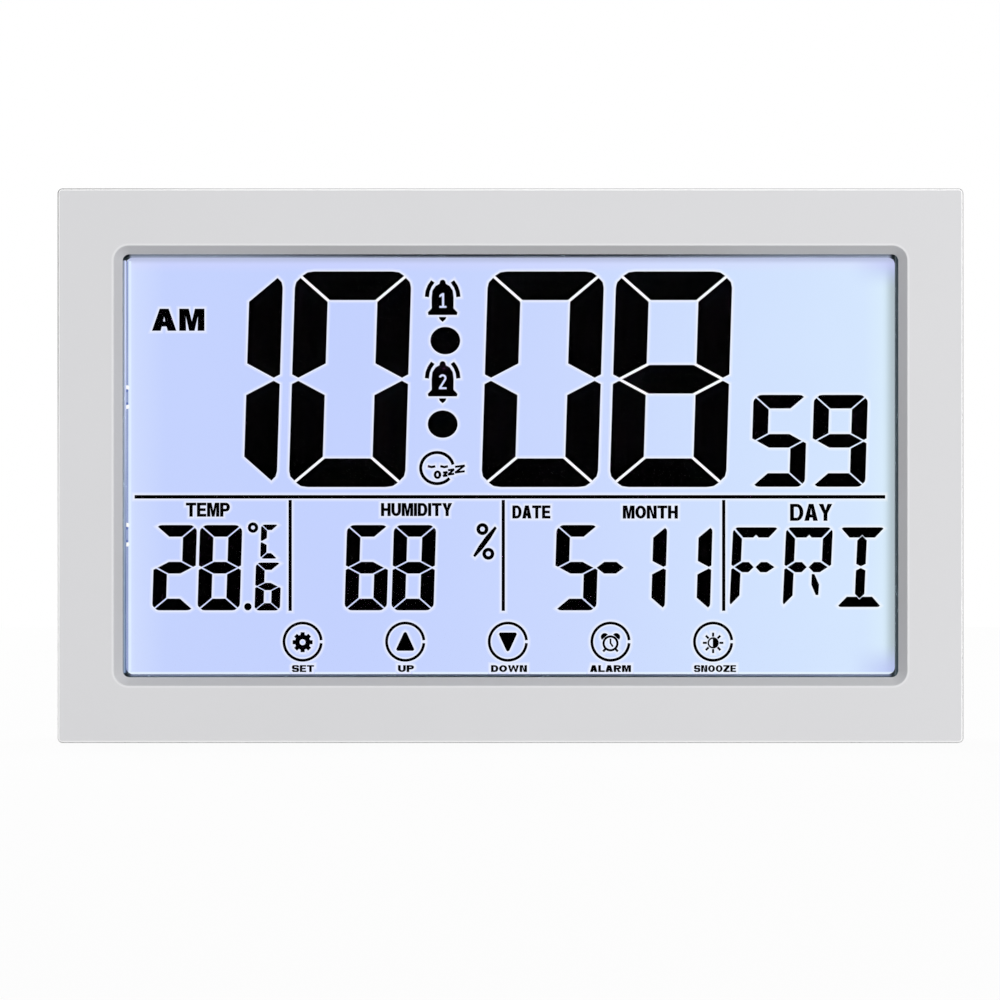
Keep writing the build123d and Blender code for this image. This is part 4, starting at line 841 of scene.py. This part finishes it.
SLEEPER = (-13.44, -0.4)
HEAD_RADIUS = 3.0
HEAD_LINE = 0.46
EYES = (-14.45, -12.15)
EYELID = ((-0.64, -0.06), (0.0, -0.22), (0.64, -0.09))
EYELID_LINE = 0.33
MOUTH = (-13.36, -1.62)
SNORE_SLANT = 0.14
SNORE_LINE = 0.28
mark(ribbon(arc(*SLEEPER, HEAD_RADIUS, 14, 318, 40, 0.95), HEAD_LINE))
for eye_x in EYES:
    mark(ribbon([(eye_x + x, z) for x, z in EYELID], EYELID_LINE))
mark(arc(*MOUTH, 0.64, 0, 345, 16, 1.14), arc(*MOUTH, 0.27, 0, 340, 12, 1.5))
SNORES = ((-11.94, -1.5, 0.36, 0.32), (-10.87, -1.12, 0.52, 0.4), (-9.26, -0.58, 0.84, 0.52))
for snore_x, snore_z, wide, high in SNORES:
    tilt = SNORE_SLANT * wide
    snore_line = [
        (snore_x - wide, snore_z + high - tilt),
        (snore_x + wide, snore_z + high + tilt),
        (snore_x - wide, snore_z - high - tilt),
        (snore_x + wide, snore_z - high + tilt),
    ]
    for start, end in zip(snore_line, snore_line[1:]):
        mark(ribbon([start, end], SNORE_LINE))

DEGREE_RING = (0.9, 0.42)
PERCENT_RING = (1.04, 0.5)
mark(*ring(-47.16, -11.3, DEGREE_RING))
for ring_x, ring_z in ((-5.13, -11.58), (-4.05, -16.1)):
    mark(*ring(ring_x, ring_z, PERCENT_RING))
slash = [(-6.76, -16.42), (-6.5, -16.66), (-5.13, -15.2), (-3.74, -13.36)]
mark(slash + [(-2.56, -11.4), (-2.84, -11.14), (-4.42, -12.86), (-5.77, -14.72)])


def capital(name, width, height, stem, beam):
    """Outlines of a plain bold capital from its lower left corner; holes come after the first."""
    half = width / 2
    bowl = 0.31 * height
    bowl_z = height - bowl
    waist = height / 2 - beam / 2
    notch = 0.3 * height
    leg = 1.25 * stem
    if name == "A":
        peak = height - beam * 1.65
        under = 0.2 * height
        over = under + beam
        low_x = leg + (half - leg) * under / peak
        high_x = leg + (half - leg) * over / peak
        outer = [(0, 0), (leg, 0), (low_x, under), (width - low_x, under), (width - leg, 0)]
        outer += [(width, 0), (half + stem * 0.66, height), (half - stem * 0.66, height)]
        return outer, [(high_x, over), (half, peak), (width - high_x, over)]
    if name in "DO":
        round_x = half if name == "O" else width - min(half, 0.62 * width)
        start, end = (0, 345) if name == "O" else (-90, 90)
        outer_x = width - round_x
        outer = arc(round_x, height / 2, outer_x, start, end, 23, height / 2 / outer_x)
        inner_x = outer_x - stem
        hole = arc(round_x, height / 2, inner_x, start, end, 23, (height / 2 - beam) / inner_x)
        if name == "D":
            outer += [(0, height), (0, 0)]
            hole += [(stem, height - beam), (stem, beam)]
        return outer, hole
    if name in "PR":
        round_x = 0.6 * width
        under = bowl_z - bowl
        outer = [(0, 0), (stem, 0), (stem, under)]
        if name == "R":
            outer += [(0.42 * width, under), (width - leg, 0), (width, 0), (0.68 * width, under)]
        outer_x = 0.4 * width
        outer += arc(round_x, bowl_z, outer_x, -75, 90, 12, bowl / outer_x) + [(0, height)]
        inner_x = outer_x - stem
        hole = arc(round_x, bowl_z, inner_x, -90, 90, 12, (bowl - beam) / inner_x)
        return outer, hole + [(stem, height - beam), (stem, under + beam)]
    if name == "U":
        round_z = 0.4 * height
        inner_x = half - stem
        outer = [(0, height)] + arc(half, round_z, half, 180, 360, 16, round_z / half)
        inner = arc(half, round_z, inner_x, 360, 180, 16, (round_z - beam) / inner_x)
        return (outer + [(width, height), (width - stem, height)] + inner + [(stem, height)],)
    inside = width - stem
    ceiling = height - beam
    straight = {
        "E": [(0, 0), (width, 0), (width, beam), (stem, beam), (stem, waist), (0.92 * width, waist)]
        + [(0.92 * width, waist + beam), (stem, waist + beam), (stem, ceiling)]
        + [(width, ceiling), (width, height), (0, height)],
        "H": [(0, 0), (stem, 0), (stem, waist), (inside, waist), (inside, 0), (width, 0)]
        + [(width, height), (inside, height), (inside, waist + beam), (stem, waist + beam)]
        + [(stem, height), (0, height)],
        "I": [(0, 0), (width, 0), (width, height), (0, height)],
        "L": [(0, 0), (width, 0), (width, beam), (stem, beam), (stem, height), (0, height)],
        "M": [(0, 0), (stem, 0), (stem, height - notch * 1.1), (half - 0.4 * stem, 0)]
        + [(half + 0.4 * stem, 0), (inside, height - notch * 1.1), (inside, 0), (width, 0)]
        + [(width, height), (width - leg * 1.15, height), (half, notch * 1.4)]
        + [(leg * 1.15, height), (0, height)],
        "N": [(0, 0), (stem, 0), (stem, height - notch), (width - leg, 0), (width, 0)]
        + [(width, height), (inside, height), (inside, notch), (leg, height), (0, height)],
        "S": [(0.15 * width, 0), (0.85 * width, 0), (width, beam * 0.8)]
        + [(width, waist + beam * 0.4), (0.85 * width, waist + beam), (stem, waist + beam * 1.2)]
        + [(stem, ceiling), (inside, ceiling), (inside, height - beam * 1.4)]
        + [(width, height - beam * 1.4), (width, height - beam * 0.8), (0.85 * width, height)]
        + [(0.15 * width, height), (0, height - beam * 0.8), (0, waist + beam * 0.6)]
        + [(0.15 * width, waist), (inside, waist - beam * 0.2), (inside, beam), (stem, beam)]
        + [(stem, beam * 1.4), (0, beam * 1.4), (0, beam * 0.8)],
        "T": [(half - stem / 2, 0), (half + stem / 2, 0), (half + stem / 2, ceiling)]
        + [(width, ceiling), (width, height), (0, height), (0, ceiling)]
        + [(half - stem / 2, ceiling)],
        "W": [(0, height), (0.2 * width, 0), (0.36 * width, 0), (half, 0.62 * height)]
        + [(0.64 * width, 0), (0.8 * width, 0), (width, height), (inside, height)]
        + [(0.72 * width, 0.36 * height), (0.58 * width, height), (0.42 * width, height)]
        + [(0.28 * width, 0.36 * height), (stem, height)],
        "Y": [(half - stem / 2, 0), (half + stem / 2, 0), (half + stem / 2, 0.42 * height)]
        + [(width, height), (width - leg, height), (half, 0.62 * height), (leg, height)]
        + [(0, height), (half - stem / 2, 0.42 * height)],
        "Z": [(0, 0), (width, 0), (width, beam), (1.4 * stem, beam), (width, ceiling)]
        + [(width, height), (0, height), (0, ceiling), (width - 1.4 * stem, ceiling), (0, beam)],
    }
    return (straight[name],)


LETTER_SPACE = 0.1
SMALL_WORD = 1.5
LETTER_WIDTHS = {"E": 0.9, "L": 0.85, "M": 1.2, "P": 0.95, "W": 1.5, "O": 1.1}


def word(text, centre, size, stem, beam):
    """Word in bold capitals that fills a width and height; a small one isn't spread."""
    spread = MARK_SPREAD if size[1] > SMALL_WORD else 0.0
    space = LETTER_SPACE * size[1]
    shares = sum(LETTER_WIDTHS.get(name, 1.0) for name in text if name != "I")
    unit = (size[0] - space * (len(text) - 1) - stem * text.count("I")) / shares
    left = centre[0] - size[0] / 2
    for name in text:
        width = stem if name == "I" else unit * LETTER_WIDTHS.get(name, 1.0)
        outlines = capital(name, width, size[1], stem, beam)
        low = centre[1] - size[1] / 2
        mark(*([(left + x, low + z) for x, z in outline] for outline in outlines), spread=spread)
        left += width + space


for lettering in (
    ("A", (-63.43, 26.77), (4.32, 3.93), 1.18, 0.82),
    ("M", (-58.36, 26.77), (4.5, 3.93), 1.14, 0.82),
    ("TEMP", (-55.42, -8.02), (7.95, 2.46), 0.5, 0.41),
    ("HUMIDITY", (-17.21, -8.0), (12.9, 2.28), 0.48, 0.4),
    ("DATE", (3.84, -8.44), (6.86, 2.28), 0.46, 0.38),
    ("MONTH", (25.63, -8.46), (9.98, 2.28), 0.5, 0.38),
    ("DAY", (55.08, -8.51), (7.6, 3.0), 0.6, 0.46),
    ("SET", (-38.0, -37.13), (4.05, 1.26), 0.46, 0.28),
    ("UP", (-19.13, -37.13), (2.95, 1.26), 0.5, 0.32),
    ("DOWN", (-0.26, -37.13), (6.6, 1.26), 0.48, 0.32),
    ("ALARM", (18.33, -37.13), (7.52, 1.26), 0.48, 0.31),
    ("SNOOZE", (37.48, -37.13), (7.7, 1.26), 0.42, 0.27),
):
    word(*lettering)

NUMBER_DEPTH = MARK_DEPTH - 0.01 * MM
ONE_HEIGHT = 30.3
TWO_HEIGHT = 15.4
numbers = bmesh.new()
one = [(-0.6, -1.35), (0.7, -1.35), (0.7, -1.0), (0.28, -1.0), (0.28, 1.35), (-0.08, 1.35)]
one += [(-0.6, 0.95), (-0.6, 0.58), (-0.12, 0.82), (-0.12, -1.0), (-0.6, -1.0)]
two = ribbon(arc(0, 0.68, 0.52, 165, -30, 12) + [(-0.5, -1.1)], 0.36)
two_foot = bar(-0.68, -1.35, 0.72, -1.0)
for outline, number_z in ((one, ONE_HEIGHT), (two, TWO_HEIGHT), (two_foot, TWO_HEIGHT)):
    lay([[(BELL_X + x, number_z + z) for x, z in outline]], numbers, NUMBER_DEPTH)


def flat_piece(name, shape, material, thickness=SHEET):
    """Piece from a growing mesh, its faces turned to the viewer and made into closed sheets."""
    for face in shape.faces:
        face.normal_update()
    bmesh.ops.reverse_faces(shape, faces=[face for face in shape.faces if face.normal.y > 0])
    thicken(shape, thickness)
    mesh = bpy.data.meshes.new(name)
    shape.to_mesh(mesh)
    shape.free()
    new_piece(name, mesh, material)


flat_piece("display_marks", marks, dark_crystal, MARK_THICKNESS)
flat_piece("mark_fringes", near_fringes, near_glow)
flat_piece("mark_far_fringes", far_fringes, far_glow)
flat_piece("bell_numbers", numbers, far_glow)

# Left edge of the display: glowing sheets paint the light that the polished side of the glass
# shows, a bright line and a blue one.
# Two small clips of the tray hold the glass there; each end of a clip has a painted glint, and a
# painted shadow glows as a deep blue spot just inside it.
EDGE_LOW = field_low + 0.3 * MM
EDGE_HIGH = field_high - 0.6 * MM
EDGE_DEPTH = digits_high[1] - 0.02 * MM
CLIP_DEPTH = EDGE_DEPTH - 0.02 * MM
CLIP_SHADOW_DEPTH = CLIP_DEPTH - 0.01 * MM
CLIP_HEIGHT = 12.6 * MM


def glow_finish(name, low, high):
    """Even glow with a slow drift of its tone."""
    material, begin = start_finish(name)
    close_glow(begin, noise(begin, 5.0, 2.0).mix(low, high))
    return material


blue_glow = glow_finish("edge_blue", shade(126, 142, 188), shade(152, 164, 208))
pale_glow = glow_finish("edge_pale", shade(216, 231, 255), shade(226, 239, 255))
deep_glow = glow_finish("clip_blue", shade(84, 104, 168), shade(104, 122, 184))
for name, near, far, material in (
    ("edge_blue_line", 0.05 * MM, 0.3 * MM, blue_glow),
    ("edge_pale_line", 0.3 * MM, 0.85 * MM, pale_glow),
):
    line = bar(field_left + near, EDGE_LOW, field_left + far, EDGE_HIGH)
    new_piece(name, flat_mesh(name, [line], EDGE_DEPTH), material)
for name, inward, from_middle, radius, depth, material in (
    ("clip_ends", 0.1 * MM, 1.75 * MM, 0.42 * MM, CLIP_DEPTH, white_glow),
    ("clip_shadows", 0.08 * MM, 1.2 * MM, 0.24 * MM, CLIP_SHADOW_DEPTH, deep_glow),
):
    spots = []
    for clip_z in (middle_z + CLIP_HEIGHT, middle_z - CLIP_HEIGHT):
        for way in (-1, 1):
            spots.append(disc(field_left + inward, clip_z + way * from_middle, radius, 12))
    new_piece(name, flat_mesh(name, spots, depth), material)

# Backlight and tray: resin bead, rear polarizer, acrylic guide, reflector, lamps and white tray.
# They are stacked behind the display and screwed to the front shell, out of sight when it is shut.


def plain_finish(name, low, high, roughness, grain_mm, metallic=0.0):
    """Solid-coloured finish with a grain that varies its tone, gloss and surface."""
    material, begin = start_finish(name)
    grain = noise(begin, grain_mm, 4.0)
    close_finish(
        begin,
        {
            "Base Color": grain.mix(shade(*low), shade(*high)),
            "Roughness": roughness - 0.08 + 0.16 * grain,
            "Metallic": metallic,
            "Normal": relief(begin, grain, 0.3, 0.01),
        },
    )
    return material


dress(plain_finish("cured_resin", (206, 202, 188), (222, 218, 204), 0.35, 0.8), "lcd_edge_bead")
dress(plain_finish("grey_film", (150, 154, 160), (166, 170, 176), 0.3, 4.0), "lcd_rear_polarizer")
dress(plain_finish("dotted_acrylic", (214, 226, 250), (236, 242, 255), 0.2, 0.9), "light_guide")
dress(plain_finish("white_sheet", (236, 236, 234), (246, 246, 245), 0.6, 2.0), "reflector_sheet")
dress(plain_finish("tray_white", (222, 222, 220), (234, 234, 232), 0.5, 0.5), "lcd_holder")
dress(plain_finish("lamp_resin", (240, 232, 180), (250, 244, 206), 0.25, 0.4), "backlight_leds")
zinc = plain_finish("zinc", (168, 168, 172), (206, 206, 208), 0.32, 0.3, 1.0)
dress(zinc, "holder_screws", "board_screws")

# Main board and its parts: green fibre board with tracks, a resin-covered chip, the crystal's can,
# small capacitors, the film's socket and the two sensors behind the vents, all soldered on.
# A rubber strip joins the board to the display.
material, begin = start_finish("green_board")
TRACK_MM = 3.2
sockets = {"Vector": place_of(begin), "Scale": 1 / (TRACK_MM * MM)}
tracks = begin.add("ShaderNodeTexVoronoi", "Distance", {"feature": "DISTANCE_TO_EDGE"}, sockets)
weave = noise(begin, 0.5, 3.0)
copper = 1 - tracks.ease(0.05, 0.12)
green = weave.mix(shade(20, 92, 54), shade(28, 106, 64))
close_finish(
    begin,
    {
        "Base Color": copper.mix(green, shade(62, 140, 92)),
        "Roughness": 0.32 + 0.12 * weave,
        "Normal": relief(begin, copper, 0.5, 0.03),
    },
)
dress(material, "main_board", "led_board")
black_resin = plain_finish("black_resin", (16, 16, 17), (28, 28, 30), 0.3, 0.7)
dress(black_resin, "clock_chip", "temperature_bead")
plated_can = plain_finish("plated_can", (196, 196, 198), (222, 222, 224), 0.22, 0.5, 1.0)
dress(plated_can, "timing_crystal")
dress(plain_finish("tan_ceramic", (176, 142, 104), (198, 164, 124), 0.4, 0.3), "board_capacitors")
dress(plain_finish("cream_nylon", (220, 212, 186), (232, 226, 202), 0.5, 0.4), "touch_socket")
dress(plain_finish("white_ceramic", (226, 226, 222), (240, 240, 238), 0.55, 0.3), "humidity_sensor")
dress(plain_finish("layered_rubber", (52, 52, 55), (92, 92, 96), 0.7, 0.25), "elastomer_strip")

# Rear shell: a light grey moulding like the front, a shade deeper and with a coarser grain.
# Four screws from the back hold it to the front shell. It carries the bay, stand and sounder.


def rear_plastic(name, roughness):
    """Moulding of the pieces at the back."""
    low = shade(208, 208, 210)
    high = shade(217, 217, 219)
    return moulded_plastic(name, low, high, roughness, 0.5, 0.035)


dress(rear_plastic("rear_grey", 0.62), "rear_case")

# Case screws: zinc-plated steel with a cross slot, deep in the rear shell's four corner wells.
# Fine scuffs vary the plating's tone, gloss and surface.
material, begin = start_finish("plated_steel")
scuffs = noise(begin, 0.25, 4.0)
close_finish(
    begin,
    {
        "Base Color": scuffs.mix(shade(150, 151, 156), shade(204, 205, 208)),
        "Roughness": 0.26 + 0.2 * scuffs,
        "Metallic": 1.0,
        "Normal": relief(begin, scuffs, 0.4, 0.02),
    },
)
dress(material, "case_screws")

# Sounder and leads: a rolled brass disc with a silvered ceramic element, over the sound holes.
# Two thin black wires go from it to the board; a red and a black one come from the batteries.
brass = plain_finish("rolled_brass", (190, 150, 82), (216, 180, 112), 0.3, 0.6, 1.0)
dress(brass, "sounder_disc")
silver = plain_finish("silvered_ceramic", (204, 202, 196), (224, 222, 216), 0.35, 0.5)
dress(silver, "sounder_element")
black_wire = plain_finish("black_wire", (20, 20, 21), (34, 34, 36), 0.55, 0.6)
dress(black_wire, "sounder_leads", "battery_lead_black")
dress(plain_finish("red_wire", (150, 22, 20), (176, 34, 30), 0.5, 0.6), "battery_lead_red")

# Batteries and their contacts: three plain cells side by side, the middle one turned over.
# Nickel-plated steel contacts with bowed springs sit at the ends of the bay.
nickel = plain_finish("nickel_strip", (184, 180, 172), (212, 208, 200), 0.28, 0.4, 1.0)
dress(nickel, "contact_positive", "contact_negative", "contact_link_top", "contact_link_bottom")
CELL_BAND = 9.0 * MM
CELL_END = 0.9 * MM
for name, positive_up in (("battery_1", True), ("battery_2", False), ("battery_3", True)):
    low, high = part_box(name)
    material, begin = start_finish(name + "_jacket")
    *_, z = axes_of(begin)
    scuffs = noise(begin, 0.6, 3.0)
    from_plus = high[2] - z if positive_up else z - low[2]
    length = high[2] - low[2]
    bare = (from_plus < CELL_END * 1.35).larger(from_plus > length - CELL_END * 0.6)
    black = scuffs.mix(shade(40, 42, 46), shade(52, 54, 58))
    copper = scuffs.mix(shade(176, 128, 62), shade(192, 144, 76))
    steel = scuffs.mix(shade(196, 196, 198), shade(218, 218, 220))
    jacket = (from_plus < CELL_BAND).mix(black, copper)
    close_finish(
        begin,
        {
            "Base Color": bare.mix(jacket, steel),
            "Roughness": 0.3 + 0.15 * scuffs,
            "Metallic": 0.35 + 0.65 * bare,
        },
    )
    dress(material, name)

# Battery door: a thin light grey cover that turns on two stub pins at its lower edge.
# A thumb latch between two slits has three grooves for grip.
dress(rear_plastic("door_grey", 0.6), "battery_door")

# Folding stand: a light grey leaf on a drawn steel pin, with a heel that stops it when it is out.
# It lies flush in its recess when folded, as the clock stands upright in the photo.
dress(rear_plastic("stand_grey", 0.6), "stand")
steel_pin = plain_finish("drawn_steel", (170, 170, 173), (200, 200, 203), 0.28, 0.3, 1.0)
dress(steel_pin, "stand_pin")

# Floor and background: a plain white sheet that reads white to the camera and keeps a soft shadow.
# The world is white to the camera, in reflections and through glass, but lights the rest little.
FLOOR_HALF = 0.9
FLOOR_SHINE = 0.95
FLOOR_SEEN = (0.92, 0.92, 0.92, 1.0)
FLOOR_BOUNCE = (0.12, 0.12, 0.12, 1.0)
WORLD_LIGHT = (0.1, 0.1, 0.1, 1.0)
floor_mesh = bpy.data.meshes.new("floor")
floor_corners = bar(-FLOOR_HALF, -FLOOR_HALF, FLOOR_HALF, FLOOR_HALF)
floor_mesh.from_pydata([(x, y, 0.0) for x, y in floor_corners], [], [(0, 1, 2, 3)])
floor = new_object("floor", floor_mesh)
material, begin = start_finish("floor_white")
path = begin.add("ShaderNodeLightPath", "Is Camera Ray")
tone = path.mix(FLOOR_BOUNCE, FLOOR_SEEN)
finish = {"Base Color": tone, "Roughness": 1.0, "Specular IOR Level": 0.0}
matte = begin.add("ShaderNodeBsdfPrincipled", 0, {}, finish)
white = begin.add("ShaderNodeEmission", 0, {}, {"Color": WHITE, "Strength": 1.0})
both = begin.add("ShaderNodeMixShader", 0, {}, {0: path * FLOOR_SHINE, 1: matte, 2: white})
begin.add("ShaderNodeOutputMaterial", 0, {}, {"Surface": both})
floor_mesh.materials.append(material)

world = bpy.data.worlds.new("studio")
world.use_nodes = True
world.node_tree.nodes.clear()
bpy.context.scene.world = world
begin = Value(world.node_tree)
path = begin.add("ShaderNodeLightPath", "Is Camera Ray")
rays = path.socket.node.outputs
glossy = Value(begin.tree, rays["Is Glossy Ray"])
through = Value(begin.tree, rays["Is Transmission Ray"])
tone = path.larger(glossy).larger(through).mix(WORLD_LIGHT, WHITE)
sky = begin.add("ShaderNodeBackground", 0, {}, {"Color": tone, "Strength": 1.0})
begin.add("ShaderNodeOutputWorld", 0, {}, {"Surface": sky})

# Studio light: two soft sources in front, the right one three times as strong as the left one,
# weaker ones at the sides and above that catch the edges of the case, and one for the back.
CLOCK_MIDDLE = Vector((0.0, 0.0, 0.05))
for name, place, size, power in (
    ("front_right", (0.62, -1.65, 0.14), 0.26, 21.4),
    ("front_left", (-0.62, -1.65, 0.14), 0.26, 7.2),
    ("left_edge", (-1.0, 0.22, 0.16), 0.3, 2.2),
    ("right_edge", (1.0, 0.22, 0.16), 0.3, 3.2),
    ("top_edge", (0.0, 0.3, 1.1), 0.6, 6.0),
    ("back", (-0.5, 1.6, 0.7), 0.6, 11.0),
):
    lamp = bpy.data.lights.new(name, "AREA")
    lamp.shape = "SQUARE"
    lamp.size = size
    lamp.energy = power
    holder = new_object(name, lamp)
    holder.location = place
    aim = CLOCK_MIDDLE - Vector(place)
    holder.rotation_euler = aim.to_track_quat("-Z", "Y").to_euler()

# Camera: straight in front of the clock, framed as in the photo and with no shift.
# Its distance is a guess, because the photo shows only the front.
FACE = cad_box[0][1]
CAMERA_DISTANCE = 1.0
FRAME_WIDTH = 0.18212
CAMERA_X = -0.00191
CAMERA_Z = 0.04425
lens = bpy.data.cameras.new("camera")
lens.sensor_width = 36.0
lens.lens = lens.sensor_width * CAMERA_DISTANCE / FRAME_WIDTH
lens.clip_start = 0.01
camera = new_object("camera", lens)
camera.location = (CAMERA_X, FACE - CAMERA_DISTANCE, CAMERA_Z)
camera.rotation_euler = (pi / 2, 0.0, 0.0)
bpy.context.scene.camera = camera
bpy.context.scene.view_settings.view_transform = "Standard"
